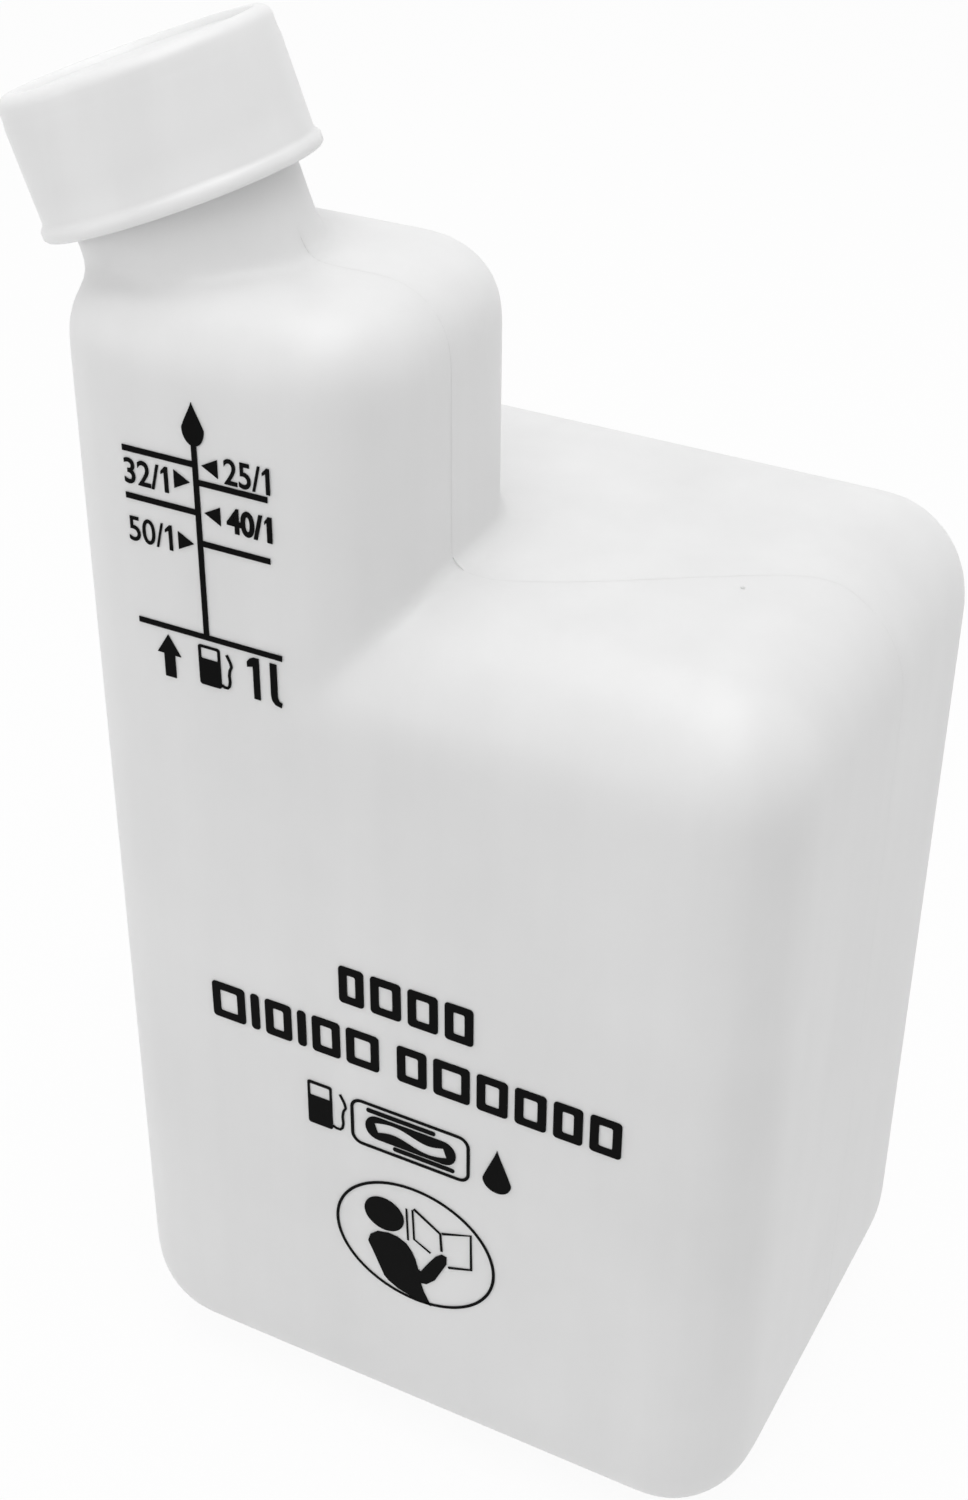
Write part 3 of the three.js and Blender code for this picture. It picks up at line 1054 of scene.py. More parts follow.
WORD_ROWS = (
    WordRow("upper", 42.1, 87.9, 1.05, (3.9, 4.7, 4.6, 4.3), "upper_word_bar"),
    WordRow("lower_left", 21.1, 77.4, 0.97, (5.4, 1.4, 4.3, 1.4, 4.5, 5.2), "lower_word_bar_1"),
    WordRow("lower_right", 51.0, 77.4, 1.05, (4.6, 5.6, 4.7, 4.7, 4.3, 4.6), "lower_word_bar_2"),
)


@dataclass
class PrintSheet:
    """The black print on the front face.

    Places are in millimetres from the bottle's left side and its base. A pump is given by its
    middle, height and width, and a drop by its middle, width, height and the share of its height
    where it is widest.

    Attributes:
        material: The ink.
        left: The bottle's left side.
        front: Place of the print's inner side, along Y.
        thickness: Thickness of the ink.
        line: Width of the scale's lines.
        fine_line: Width of the fine lines.
        stem_x: Middle of the scale's stem, across.
        stem_top: Upper end of the stem.
        litre_z: Height of the litre line.
        litre_ends: Ends of the litre line.
        line_ends: Ends of the level lines, at the left and at the right.
        pointer: A pointer's tip and back, measured from the stem, and half its height.
        label_reach: Distance of the numbers' middle from the stem.
        label_width: Full width of the numbers.
        figure: Height of a figure.
        flag_share: Width of the figure one, as a share of its height.
        slash_gap: Gap between the slash and the figure one.
        stem_share: Width of the figure one's stem, as a share of its height.
        scale_drop: The drop on top of the stem, without its place across.
        small_pump: The pump under the litre line.
        large_pump: The pump in the row of pictures.
        oil_mark: The drop in the row of pictures.
        window_lift: Height of a pump's window over its middle, as a share of the pump's height.
        window_share: Height of the window, as a share of the pump's height.
        word_height: Height of the word blocks.
        word_line: Width of their lines.
        word_corners: Radii of their outer and inner corners.
        hollow_from: Least width of a hollow block, as a multiple of its line.
        box_middle: Middle of the hose's frame.
        box_size: Width and height of the frame.
        box_corner: Radius of the frame's corners.
        box_line: Width of the frame's line.
        bar_offset: Distance of the two bars from the frame's middle.
        bar_height: Height of a bar.
        bar_corner: Radius of a bar's corners.
        coil_drop: How far the coil lies below the frame's middle.
        coil_shape: The coil's shift to the right, its width, height and corner radius.
        coil_wave: The wave's start, left of the middle, its length, swing and width.
        ring_middle: Middle of the ring.
        ring_radii: The ring's radii, across and up.
        ring_line: Width of the ring's line.
        head: Middle of the figure's head and its radii, across and up.
        page_line: Width of the book's finest lines.
        pieces: Number of pieces printed so far.
    """

    material: bpy.types.Material
    left: float = -51.5
    front: float = -40.03
    thickness: float = 0.1
    line: float = 0.8
    fine_line: float = 0.4
    stem_x: float = 24.3
    stem_top: float = 163.7
    litre_z: float = 137.1
    litre_ends: tuple[float, float] = (14.0, 35.5)
    line_ends: tuple[float, float] = (13.6, 34.5)
    pointer: tuple[float, float, float] = (0.95, 3.25, 1.25)
    label_reach: float = 7.4
    label_width: float = 6.5
    figure: float = 3.5
    flag_share: float = 0.3
    slash_gap: float = 0.25
    stem_share: float = 0.14
    scale_drop: tuple[float, ...] = (166.6, 3.2, 5.8, 0.4)
    small_pump: tuple[float, ...] = (24.5, 132.9, 5.9, 3.3)
    large_pump: tuple[float, ...] = (38.3, 64.4, 7.9, 4.0)
    oil_mark: tuple[float, ...] = (66.5, 64.0, 4.4, 7.9, 0.27)
    window_lift: float = 0.3
    window_share: float = 0.27
    word_height: float = 6.3
    word_line: float = 1.3
    word_corners: tuple[float, float] = (0.6, 0.3)
    hollow_from: float = 2.5
    box_middle: tuple[float, float] = (52.8, 63.9)
    box_size: tuple[float, float] = (19, 8.4)
    box_corner: float = 1.8
    box_line: float = 0.5
    bar_offset: float = 2.8
    bar_height: float = 0.75
    bar_corner: float = 0.35
    coil_drop: float = 0.05
    coil_shape: tuple[float, float, float, float] = (0.1, 14.4, 4.2, 2.0)
    coil_wave: tuple[float, float, float, float] = (5.4, 11, 0.6, 1.7)
    ring_middle: tuple[float, float] = (53.35, 43.7)
    ring_radii: tuple[float, float] = (13.05, 11.2)
    ring_line: float = 0.45
    head: tuple[float, float, float, float] = (48.4, 47.7, 3.25, 3.1)
    page_line: float = 0.3
    pieces: int = 0

    @property
    def place(self) -> Matrix:
        """Return the placement of a flat drawing.

        Returns:
            The matrix that stands it on the front face.
        """
        turn = Matrix.Rotation(math.pi / 2, 4, "X")
        scale = Matrix.Scale(MM, 4)
        at = Matrix.Translation((self.left * MM, (self.front - self.thickness / 2) * MM, 0))
        return at @ turn @ scale

    def plate(self, name: str, outlines: Iterable[Outline], *nodes: str) -> bpy.types.Object:
        """Print closed outlines, where an outline inside another is a hole.

        Args:
            name: The piece's name.
            outlines: The closed outlines.
            nodes: CAD nodes that the piece stands for.

        Returns:
            The printed piece.
        """
        curve = bpy.data.curves.new(name, "CURVE")
        curve.dimensions = "2D"
        curve.fill_mode = "BOTH"
        curve.extrude = self.thickness / 2
        for outline in outlines:
            spline = curve.splines.new("POLY")
            spline.points.add(len(outline) - 1)
            for point, (x, z) in zip(spline.points, outline):
                point.co = (x, z, 0, 1)
            spline.use_cyclic_u = True
        return self.ink(from_curve(name, curve, self.place), nodes)

    def text(
        self,
        name: str,
        words: str,
        x: float,
        z: float,
        height: float,
        width: float,
        weight: float,
        *nodes: str,
    ) -> bpy.types.Object:
        """Print plain numbers about a centre.

        Args:
            name: The piece's name.
            words: The numbers.
            x: Middle of the numbers, across.
            z: Middle of the numbers, up.
            height: Height of a figure.
            width: Full width of the numbers.
            weight: How far the figures are thickened.
            nodes: CAD nodes that the piece stands for.

        Returns:
            The printed piece.
        """
        curve = bpy.data.curves.new(name, "FONT")
        curve.body = words
        curve.extrude = self.thickness / 2
        curve.offset = weight
        piece = from_curve(name, curve)
        xs = [vert.co.x for vert in piece.data.vertices]
        ys = [vert.co.y for vert in piece.data.vertices]
        middle = Vector(((min(xs) + max(xs)) / 2, (min(ys) + max(ys)) / 2, 0))
        fit = Matrix.Diagonal((width / (max(xs) - min(xs)), height / (max(ys) - min(ys)), 1, 1))
        at = Matrix.Translation((x, z, 0)) @ fit @ Matrix.Translation(-middle)
        piece.data.transform(self.place @ at)
        return self.ink(piece, nodes)

    def ink(self, piece: bpy.types.Object, nodes: Sequence[str]) -> bpy.types.Object:
        """Close, dress and count one printed piece.

        Args:
            piece: The piece.
            nodes: CAD nodes that it stands for.

        Returns:
            The same piece.
        """
        bm = bmesh.new()
        bm.from_mesh(piece.data)
        bmesh.ops.remove_doubles(bm, verts=bm.verts, dist=WELD)
        bmesh.ops.dissolve_degenerate(bm, dist=WELD / 2, edges=bm.edges)
        bmesh.ops.recalc_face_normals(bm, faces=bm.faces)
        bm.to_mesh(piece.data)
        bm.free()
        dress(piece, self.material, Slot.INK, Body.BOTTLE, *nodes)
        self.pieces += 1
        return piece

    def comb(self) -> Outline:
        """Return the outline of the scale's stem with its level lines.

        Returns:
            The closed outline, from the litre line's left end.
        """
        half = self.line / 2
        left, right = self.stem_x - half, self.stem_x + half
        low, high = self.litre_z - half, self.litre_z + half
        start, end = self.litre_ends
        points = [(start, low), (end, low), (end, high), (right, high)]
        for mark in reversed([mark for mark in RATIO_MARKS if mark.side > 0]):
            end, z = self.line_ends[1], mark.line_z
            points += [(right, z - half), (end, z - half), (end, z + half), (right, z + half)]
        points += [(right, self.stem_top), (left, self.stem_top)]
        for mark in [mark for mark in RATIO_MARKS if mark.side < 0]:
            end, z = self.line_ends[0], mark.line_z
            points += [(left, z + half), (end, z + half), (end, z - half), (left, z - half)]
        return points + [(left, high), (start, high)]

    def ratio(self, mark: RatioMark) -> None:
        """Print one ratio's pointer and numbers.

        Args:
            mark: The ratio.
        """
        tip, back, half = self.pointer
        z = mark.pointer_z
        front_x, back_x = self.stem_x - mark.side * tip, self.stem_x - mark.side * back
        pointer = [(front_x, z), (back_x, z + mark.side * half), (back_x, z - mark.side * half)]
        self.plate(f"ratio_pointer_{mark.name}", [pointer], f"pointer_{mark.name}")
        middle = self.stem_x - mark.side * self.label_reach
        right = middle + self.label_width / 2
        flag = self.figure * self.flag_share
        wide = self.label_width - flag - self.slash_gap
        words_x = right - self.label_width + wide / 2
        bar = f"number_bar_{mark.name}"
        name = f"ratio_{mark.name}"
        self.text(name, mark.name + "/", words_x, mark.label_z, self.figure, wide, mark.weight, bar)
        stem = self.figure * (self.stem_share + mark.weight * 2)
        base = mark.label_z - self.figure / 2
        self.plate(f"{name}_one", [figure_one(right, base, self.figure, stem, flag)])

    def scale(self) -> None:
        """Print the scale: stem and level lines, drop, pointers and ratio numbers."""
        self.plate("scale_lines", [self.comb()], "scale_print")
        self.plate("scale_drop", [drop(self.stem_x, *self.scale_drop)])
        for mark in RATIO_MARKS:
            self.ratio(mark)

    def pump(self, name: str, x: float, z: float, height: float, width: float, *nodes: str) -> None:
        """Print a plain pump: a cabinet with a window, and a hose at its side.

        Args:
            name: The piece's name.
            x: Middle of the cabinet, across.
            z: Middle of the cabinet, up.
            height: Height of the cabinet.
            width: Width of the cabinet.
            nodes: CAD nodes that the cabinet stands for.
        """
        wall = self.fine_line
        cabinet = rounded_bar(x, z, width, height, wall)
        window_z = z + height * self.window_lift
        window = rounded_bar(
            x, window_z, width - 2 * wall, height * self.window_share, wall * 0.5
        )
        self.plate(name, [cabinet, window], *nodes)
        edge = x + width / 2
        path = [(0.0, -0.4), (0.07, -0.43), (0.15, -0.43), (0.2, -0.37), (0.22, -0.26)]
        path += [(0.21, -0.1), (0.23, 0.03), (0.28, 0.13), (0.26, 0.22), (0.22, 0.31)]
        path.append((0.17, 0.41))
        hose = [(edge + across * height, z + up * height) for across, up in path]
        self.plate(name + "_hose", [stroke(hose, wall)])

    def lower_scale(self) -> None:
        """Print what stands under the litre line: an arrow, a small pump and the litre mark."""
        arrow = [(17.5, 129.6), (19.15, 129.6), (19.15, 133.0), (20.1, 133.0)]
        arrow += [(18.3, 135.9), (16.5, 133.0), (17.5, 133.0)]
        self.plate("up_arrow", [arrow], "fill_arrow")
        self.pump("small_pump", *self.small_pump, "small_pump_mark")
        figure = [(30.2, 135.3), (30.2, 134.5), (31.05, 134.75), (31.05, 130.0)]
        figure += [(32.0, 130.0), (32.0, 136.1), (31.2, 136.1), (30.6, 135.8)]
        self.plate("litre_figure", [figure], "litre_mark")
        letter = [(33.6, 136.0), (33.6, 131.2), (33.75, 130.5), (34.2, 129.95), (35.1, 129.75)]
        letter += [(35.25, 130.45), (34.8, 130.6), (34.6, 131.1), (34.6, 136.0)]
        self.plate("litre_letter", [letter])

    def word_blocks(self) -> None:
        """Print plain blocks where the words stand, in their rhythm."""
        high, line = self.word_height, self.word_line
        outer_corner, inner_corner = self.word_corners
        for row in WORD_ROWS:
            start = row.start
            for i, width in enumerate(row.widths):
                x = start + width / 2
                start += width + row.gap
                block = [rounded_bar(x, row.z, width, high, outer_corner)]
                if width > self.hollow_from * line:
                    hole = rounded_bar(x, row.z, width - 2 * line, high - 2 * line, inner_corner)
                    block.append(hole)
                self.plate(f"{row.name}_block_{i + 1}", block, *((row.node,) if i == 0 else ()))

    def pictures(self) -> None:
        """Print the row of small pictures: a pump, a hose in a frame and a drop of oil."""
        self.pump("large_pump", *self.large_pump, "pump_mark")
        self.hose_picture()
        self.plate("oil_mark", [drop(*self.oil_mark)], "oil_drop")

    def hose_picture(self) -> None:
        """Print a frame that holds a coiled hose between two bars."""
        (x, z), (wide, high) = self.box_middle, self.box_size
        corner, line = self.box_corner, self.box_line
        frame_out = rounded_bar(x, z, wide, high, corner)
        frame_in = rounded_bar(x, z, wide - 2 * line, high - 2 * line, corner - line)
        self.plate("hose_box", [frame_out, frame_in], "hose_frame")
        for name, middle, side, length in (("high", 51.4, 1, 11.0), ("low", 55.0, -1, 9.8)):
            bar_z = z + side * self.bar_offset
            bar = rounded_bar(middle, bar_z, length, self.bar_height, self.bar_corner)
            self.plate(f"hose_bar_{name}", [bar])
        shift, *coil_size = self.coil_shape
        coil_z = z - self.coil_drop
        coil_out = rounded_bar(x + shift, coil_z, *coil_size)
        start, length, swing, width = self.coil_wave
        shares = [i / ARC_STEPS for i in range(ARC_STEPS + 1)]
        wave = [
            (x - start + length * t, coil_z + swing * math.sin(2 * math.pi * t)) for t in shares
        ]
        self.plate("hose_coil", [coil_out, stroke(wave, width)])

    def reader(self) -> None:
        """Print the ring with a plain figure that holds a book."""
        (x, z), (rx, rz) = self.ring_middle, self.ring_radii
        line = self.ring_line
        ring_out = arc(x, z, rx, rz, 0, 360, RING_STEPS)[:-1]
        ring_in = arc(x, z, rx - line, rz - line, 0, 360, RING_STEPS)[:-1]
        self.plate("ring", [ring_out, ring_in], "reader_ring")
        self.plate("figure_head", [arc(*self.head, 0, 360, HEAD_STEPS)[:-1]], "reader_head")
        body = [(45.6, 41.2), (46.0, 42.6), (47.2, 43.7), (49.0, 44.2), (50.6, 44.1), (52.0, 43.4)]
        body += [(52.9, 42.2), (53.5, 40.8), (53.9, 39.2), (54.3, 38.9), (55.6, 41.2), (56.8, 43.1)]
        body += [(57.8, 44.0), (58.6, 43.8), (58.6, 42.4), (56.7, 38.3), (55.3, 36.8), (54.3, 36.6)]
        body += [(54.8, 35.0), (56.0, 32.6), (54.4, 32.9), (52.5, 33.1), (50.5, 33.6), (48.9, 34.5)]
        body += [(48.2, 35.2), (47.4, 37.1), (46.5, 39.2)]
        self.plate("figure_body", [body], "reader_body")
        right_page = [(57.9, 48.15), (62.5, 49.9), (62.6, 43.2), (58.9, 41.9)]
        left_page = [(53.3, 50.9), (57.6, 48.0), (57.8, 44.6)]
        self.plate("book_right", [stroke(right_page, self.fine_line)], "reader_book")
        self.plate("book_left", [stroke(left_page, self.fine_line)])
        edge = [(53.1, 50.6), (53.3, 44.9), (56.0, 43.4)]
        self.plate("book_edge", [stroke(edge, self.page_line)])
        self.plate("book_cover", [stroke([(52.1, 50.4), (52.3, 44.3)], self.page_line)])

    def build(self) -> None:
        """Print every part of the sheet."""
        self.scale()
        self.lower_scale()
        self.word_blocks()
        self.pictures()
        self.reader()
        LOG.info("print: %d pieces", self.pieces)


# Clouding, flow streaks and fine orange peel of the moulded surface
CLOUD_SCALE = 22.0
CLOUD_DETAIL = 3.0
STREAK_SCALE = 26.0
STREAK_DETAIL = 4.0
STREAK_STRETCH = (4.0, 4.0, 0.35)
STREAK_HEIGHT = 1.6
PEEL_SCALE = 900.0
PEEL_DETAIL = 2.0
PEEL_HEIGHT = 0.35
ROUGHNESS_SHARE = 0.2
BUMP_HEIGHT = 0.2 * MM
EVEN = (1.0, 1.0, 1.0)


def moulded_surface_group() -> bpy.types.NodeTree:
    """Make the node group for moulded plastic: soft clouding, flow streaks and fine orange peel.

    Returns:
        The group, with named inputs and outputs.
    """
    tree = bpy.data.node_groups.new("moulded_surface", "ShaderNodeTree")
    make = tree.interface.new_socket
    for name in ("Cloud Scale", "Cloud Amount", "Streak Amount", "Peel"):
        make(name=name, in_out="INPUT", socket_type="NodeSocketFloat")
    make(name="Dark Colour", in_out="INPUT", socket_type="NodeSocketColor")
    make(name="Light Colour", in_out="INPUT", socket_type="NodeSocketColor")
    make(name="Colour", in_out="OUTPUT", socket_type="NodeSocketColor")
    make(name="Roughness Shift", in_out="OUTPUT", socket_type="NodeSocketFloat")
    make(name="Normal", in_out="OUTPUT", socket_type="NodeSocketVector")
    nodes, links = tree.nodes, tree.links
    entry = nodes.new("NodeGroupInput")
    leave = nodes.new("NodeGroupOutput")
    place = nodes.new("ShaderNodeTexCoord")

    def noise(scale: float, detail: float, stretch: tuple[float, float, float]) -> bpy.types.Node:
        """Add a noise texture on object coordinates.

        Args:
            scale: Its scale.
            detail: Its detail.
            stretch: Scale of the coordinates along each axis.

        Returns:
            The texture's node.
        """
        mapping = nodes.new("ShaderNodeMapping")
        mapping.inputs["Scale"].default_value = stretch
        links.new(place.outputs["Object"], mapping.inputs["Vector"])
        texture = nodes.new("ShaderNodeTexNoise")
        texture.inputs["Scale"].default_value = scale
        texture.inputs["Detail"].default_value = detail
        links.new(mapping.outputs["Vector"], texture.inputs["Vector"])
        return texture

    def maths(
        kind: str, first: bpy.types.NodeSocket, second: bpy.types.NodeSocket | float
    ) -> bpy.types.NodeSocket:
        """Add a maths node.

        Args:
            kind: Its operation.
            first: Its first value.
            second: Its second value, a socket or a number.

        Returns:
            The socket of its result.
        """
        node = nodes.new("ShaderNodeMath")
        node.operation = kind
        links.new(first, node.inputs[0])
        if isinstance(second, float):
            node.inputs[1].default_value = second
        else:
            links.new(second, node.inputs[1])
        return node.outputs[0]

    cloud = noise(1.0, CLOUD_DETAIL, EVEN)
    links.new(entry.outputs["Cloud Scale"], cloud.inputs["Scale"])
    streak = noise(STREAK_SCALE, STREAK_DETAIL, STREAK_STRETCH)
    peel = noise(PEEL_SCALE, PEEL_DETAIL, EVEN)
    cloud_swing = maths("SUBTRACT", cloud.outputs["Fac"], 0.5)
    cloud_part = maths("MULTIPLY", cloud_swing, entry.outputs["Cloud Amount"])
    streak_swing = maths("SUBTRACT", streak.outputs["Fac"], 0.5)
    streak_part = maths("MULTIPLY", streak_swing, entry.outputs["Streak Amount"])
    shade = maths("ADD", maths("ADD", cloud_part, streak_part), 0.5)
    mix = nodes.new("ShaderNodeMix")
    mix.data_type = "RGBA"
    links.new(shade, mix.inputs["Factor"])
    links.new(entry.outputs["Dark Colour"], mix.inputs["A"])
    links.new(entry.outputs["Light Colour"], mix.inputs["B"])
    links.new(mix.outputs["Result"], leave.inputs["Colour"])
    links.new(maths("MULTIPLY", cloud_part, ROUGHNESS_SHARE), leave.inputs["Roughness Shift"])
    bump = nodes.new("ShaderNodeBump")
    bump.inputs["Distance"].default_value = BUMP_HEIGHT
    links.new(entry.outputs["Peel"], bump.inputs["Strength"])
    streak_height = maths("MULTIPLY", streak.outputs["Fac"], STREAK_HEIGHT)
    height = maths("ADD", streak_height, maths("MULTIPLY", peel.outputs["Fac"], PEEL_HEIGHT))
    links.new(height, bump.inputs["Height"])
    links.new(bump.outputs["Normal"], leave.inputs["Normal"])
    return tree


@dataclass(frozen=True)
class PlasticFinish:
    """A moulded plastic.

    Attributes:
        name: The material's name.
        dark: Its darker tone.
        light: Its lighter tone.
        roughness: Its mean roughness.
        glow: How much light scatters inside it.
        depth: How far that light travels, in metres.
        cloud: Strength of the soft clouding.
        streak: Strength of the flow streaks.
        peel: Strength of the fine surface unevenness.
        shine: Strength of the mirror-like part of its reflection.
    """

    name: str
    dark: tuple[float, float, float]
    light: tuple[float, float, float]
    roughness: float
    glow: float
    depth: float
    cloud: float
    streak: float
    peel: float
    shine: float

    def build(self, group: bpy.types.NodeTree) -> bpy.types.Material:
        """Build the material around the shared surface group.

        Args:
            group: The group for moulded plastic.

        Returns:
            The new material.
        """
        material = bpy.data.materials.new(self.name)
        material.use_nodes = True
        nodes, links = material.node_tree.nodes, material.node_tree.links
        shader = nodes["Principled BSDF"]
        surface = nodes.new("ShaderNodeGroup")
        surface.node_tree = group
        amounts = {"Cloud Scale": CLOUD_SCALE, "Cloud Amount": self.cloud}
        amounts |= {"Streak Amount": self.streak, "Peel": self.peel}
        amounts |= {"Dark Colour": (*self.dark, 1), "Light Colour": (*self.light, 1)}
        for name, value in amounts.items():
            surface.inputs[name].default_value = value
        rough = nodes.new("ShaderNodeMath")
        rough.operation = "ADD"
        rough.inputs[1].default_value = self.roughness
        links.new(surface.outputs["Roughness Shift"], rough.inputs[0])
        links.new(rough.outputs[0], shader.inputs["Roughness"])
        links.new(surface.outputs["Colour"], shader.inputs["Base Color"])
        links.new(surface.outputs["Normal"], shader.inputs["Normal"])
        shader.inputs["Specular IOR Level"].default_value = self.shine
        shader.inputs["Subsurface Weight"].default_value = self.glow
        shader.inputs["Subsurface Radius"].default_value = EVEN
        shader.inputs["Subsurface Scale"].default_value = self.depth
        return material


BOTTLE_FINISH = PlasticFinish(
    name="natural_polyethylene",
    dark=(0.7, 0.7, 0.7),
    light=(0.88, 0.88, 0.88),
    roughness=0.4,
    glow=0.35,
    depth=0.004,
    cloud=0.8,
    streak=0.4,
    peel=0.12,
    shine=0.5,
)
CAP_FINISH = PlasticFinish(
    name="cap_polyethylene",
    dark=(0.68, 0.68, 0.68),
    light=(0.89, 0.89, 0.89),
    roughness=0.34,
    glow=0.35,
    depth=0.003,
    cloud=0.6,
    streak=0.4,
    peel=0.08,
    shine=0.5,
)
SEAL_FINISH = PlasticFinish(
    name="seal_foam",
    dark=(0.6, 0.6, 0.59),
    light=(0.7, 0.7, 0.69),
    roughness=0.75,
    glow=0.0,
    depth=0.001,
    cloud=0.6,
    streak=0.0,
    peel=0.3,
    shine=0.5,
)
INK_FINISH = PlasticFinish(
    name="black_ink",
    dark=(0.002, 0.002, 0.002),
    light=(0.005, 0.005, 0.005),
    roughness=0.5,
    glow=0.0,
    depth=0.001,
    cloud=1.0,
    streak=0.2,
    peel=0.1,
    shine=0.03,
)


@dataclass(frozen=True)
class Lamp:
    """A soft square lamp.

    Attributes:
        name: Its name.
        place: Where it hangs.
        width: Its width.
        power: Its power in watts.
    """

    name: str
    place: tuple[float, float, float]
    width: float
    power: float

    def build(self, target: Vector) -> None:
        """Hang the lamp.

        Args:
            target: What it looks at.
        """
        data = bpy.data.lights.new(self.name, "AREA")
        data.size = self.width
        data.energy = self.power
        lamp = bpy.data.objects.new(self.name, data)
        aim = target - Vector(self.place)
        turn = aim.to_track_quat("-Z", "Y").to_matrix().to_4x4()
        lamp.matrix_world = Matrix.Translation(self.place) @ turn
        bpy.context.scene.collection.objects.link(lamp)


LAMPS = (
    Lamp("top_lamp", (0.0, 0.1, 1.2), 0.9, 3.25),
    Lamp("front_lamp", (0.25, -0.35, 1.1), 0.9, 3.05),
    Lamp("low_left_lamp", (-0.6, -0.8, 0.2), 0.7, 1.45),
)


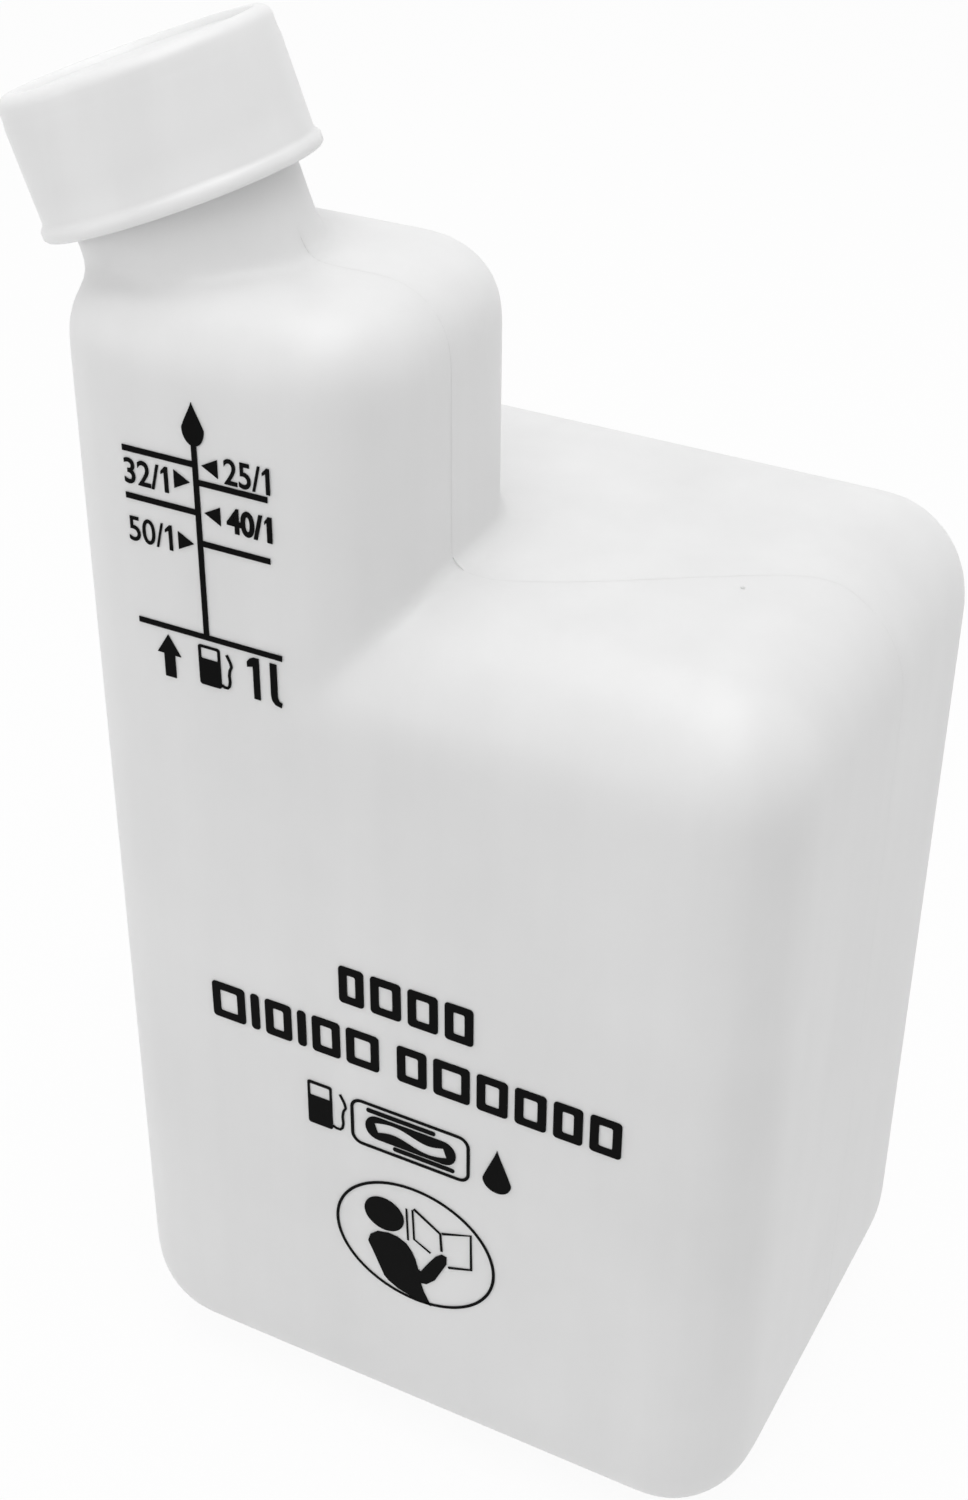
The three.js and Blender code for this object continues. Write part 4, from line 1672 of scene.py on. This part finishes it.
@dataclass
class Studio:
    """The camera, the floor and the plain soft light.

    Attributes:
        azimuth: The camera's turn about the bottle.
        elevation: How far the camera looks down.
        roll: How far the camera is rolled.
        place: Where the camera stands.
        focal_pixels: Its focal length, in pixels of the photograph.
        picture_height: Height of the photograph, in pixels.
        sensor: Height of its sensor, in millimetres.
        nearest: Nearest distance that it shows.
        ambient: Strength of the light from all round.
        dim_side: Direction from which less of it comes.
        dim_share: How much less comes from there.
        floor_white: How much of the floor is seen plain white.
        floor_grey: The floor's tone under that.
        floor_roughness: The floor's roughness.
        floor_reach: Half the floor's width.
        bottle_middle: What the lamps look at.
    """

    azimuth: float = math.radians(27.41)
    elevation: float = math.radians(33.17)
    roll: float = math.radians(0.47)
    place: tuple[float, float, float] = (118.5 * MM, -244.5 * MM, 282.9 * MM)
    focal_pixels: float = 2272.2
    picture_height: float = 1500
    sensor: float = 36
    ambient: float = 0.664
    dim_side: tuple[float, float, float] = (0.62, -0.77, 0.15)
    dim_share: float = 0.17
    floor_white: float = 0.93
    floor_grey: float = 0.85
    floor_reach: float = 3.0
    floor_roughness: float = 0.9
    bottle_middle: tuple[float, float, float] = (0, 0, 0.1)
    nearest: float = 0.01

    def camera(self) -> None:
        """Place the camera where the photograph was taken from."""
        az, el = self.azimuth, self.elevation
        forward = Vector((-math.sin(az) * math.cos(el), math.cos(az) * math.cos(el), -math.sin(el)))
        right = Vector((math.cos(az), math.sin(az), 0))
        down = forward.cross(right)
        turned_right = right * math.cos(self.roll) - down * math.sin(self.roll)
        turned_down = right * math.sin(self.roll) + down * math.cos(self.roll)
        data = bpy.data.cameras.new("camera")
        data.sensor_fit = "VERTICAL"
        data.sensor_height = self.sensor
        data.lens = self.focal_pixels / self.picture_height * self.sensor
        data.clip_start = self.nearest
        camera = bpy.data.objects.new("camera", data)
        axes = Matrix((turned_right, -turned_down, -forward)).transposed().to_4x4()
        camera.matrix_world = Matrix.Translation(self.place) @ axes
        bpy.context.scene.collection.objects.link(camera)
        bpy.context.scene.camera = camera

    @staticmethod
    def seen_rays(nodes: bpy.types.Nodes, links: bpy.types.NodeLinks) -> bpy.types.NodeSocket:
        """Return a mask of the rays that show the background.

        Args:
            nodes: The tree's nodes.
            links: The tree's links.

        Returns:
            A socket with 1 for camera, glossy and transmission rays.
        """
        path = nodes.new("ShaderNodeLightPath")
        result = path.outputs["Is Camera Ray"]
        for kind in ("Is Glossy Ray", "Is Transmission Ray"):
            either = nodes.new("ShaderNodeMath")
            either.operation = "MAXIMUM"
            links.new(result, either.inputs[0])
            links.new(path.outputs[kind], either.inputs[1])
            result = either.outputs[0]
        return result

    def world(self) -> None:
        """Light the scene softly, dimmer from behind the camera, and show plain white."""
        world = bpy.data.worlds.new("studio")
        bpy.context.scene.world = world
        world.use_nodes = True
        nodes, links = world.node_tree.nodes, world.node_tree.links
        background = nodes["Background"]
        place = nodes.new("ShaderNodeTexCoord")
        toward = nodes.new("ShaderNodeVectorMath")
        toward.operation = "DOT_PRODUCT"
        toward.inputs[1].default_value = self.dim_side
        links.new(place.outputs["Generated"], toward.inputs[0])
        dim = nodes.new("ShaderNodeMapRange")
        dim.interpolation_type = "SMOOTHSTEP"
        dim.inputs["To Min"].default_value = self.ambient
        dim.inputs["To Max"].default_value = self.ambient * (1 - self.dim_share)
        links.new(toward.outputs["Value"], dim.inputs["Value"])
        strength = nodes.new("ShaderNodeMapRange")
        strength.inputs["To Max"].default_value = 1.0
        links.new(dim.outputs["Result"], strength.inputs["To Min"])
        links.new(self.seen_rays(nodes, links), strength.inputs["Value"])
        links.new(strength.outputs["Result"], background.inputs["Strength"])
        background.inputs["Color"].default_value = (1, 1, 1, 1)

    def floor(self) -> None:
        """Lay a pale floor that is seen nearly white and keeps a faint shadow."""
        bm = bmesh.new()
        bmesh.ops.create_grid(bm, x_segments=1, y_segments=1, size=self.floor_reach)
        floor = finish_mesh("floor", bm)
        material = bpy.data.materials.new("pale_floor")
        material.use_nodes = True
        nodes, links = material.node_tree.nodes, material.node_tree.links
        shader = nodes["Principled BSDF"]
        shader.inputs["Base Color"].default_value = (*(self.floor_grey,) * 3, 1)
        shader.inputs["Roughness"].default_value = self.floor_roughness
        shader.inputs["Specular IOR Level"].default_value = 0.0
        white = nodes.new("ShaderNodeEmission")
        share = nodes.new("ShaderNodeMath")
        share.operation = "MULTIPLY"
        share.inputs[1].default_value = self.floor_white
        links.new(self.seen_rays(nodes, links), share.inputs[0])
        mix = nodes.new("ShaderNodeMixShader")
        links.new(share.outputs[0], mix.inputs["Fac"])
        links.new(shader.outputs[0], mix.inputs[1])
        links.new(white.outputs[0], mix.inputs[2])
        links.new(mix.outputs[0], nodes["Material Output"].inputs["Surface"])
        floor.data.materials.append(material)

    def build(self) -> None:
        """Set up the camera, the light and the floor."""
        self.camera()
        self.world()
        self.floor()
        for lamp in LAMPS:
            lamp.build(Vector(self.bottle_middle))
        bpy.context.scene.view_settings.view_transform = "Standard"


def main() -> None:
    """Build the bottle, its cap, seal and print, and the studio."""
    logging.basicConfig(level=logging.INFO, format="%(name)s %(message)s")
    Studio().build()
    group = moulded_surface_group()
    plastic = BOTTLE_FINISH.build(group)
    thread = Thread()
    cap = ScrewCap()
    shell_maker = BottleShell()
    shell = shell_maker.build(plastic, thread, cap.lift)
    MouldSeam().build(shell, plastic, shell_maker.tower_top)
    cap.build(shell_maker.axis, CAP_FINISH.build(group), thread)
    SealDisc().build(shell_maker.axis, SEAL_FINISH.build(group))
    PrintSheet(INK_FINISH.build(group)).build()


if __name__ == "__main__":
    main()
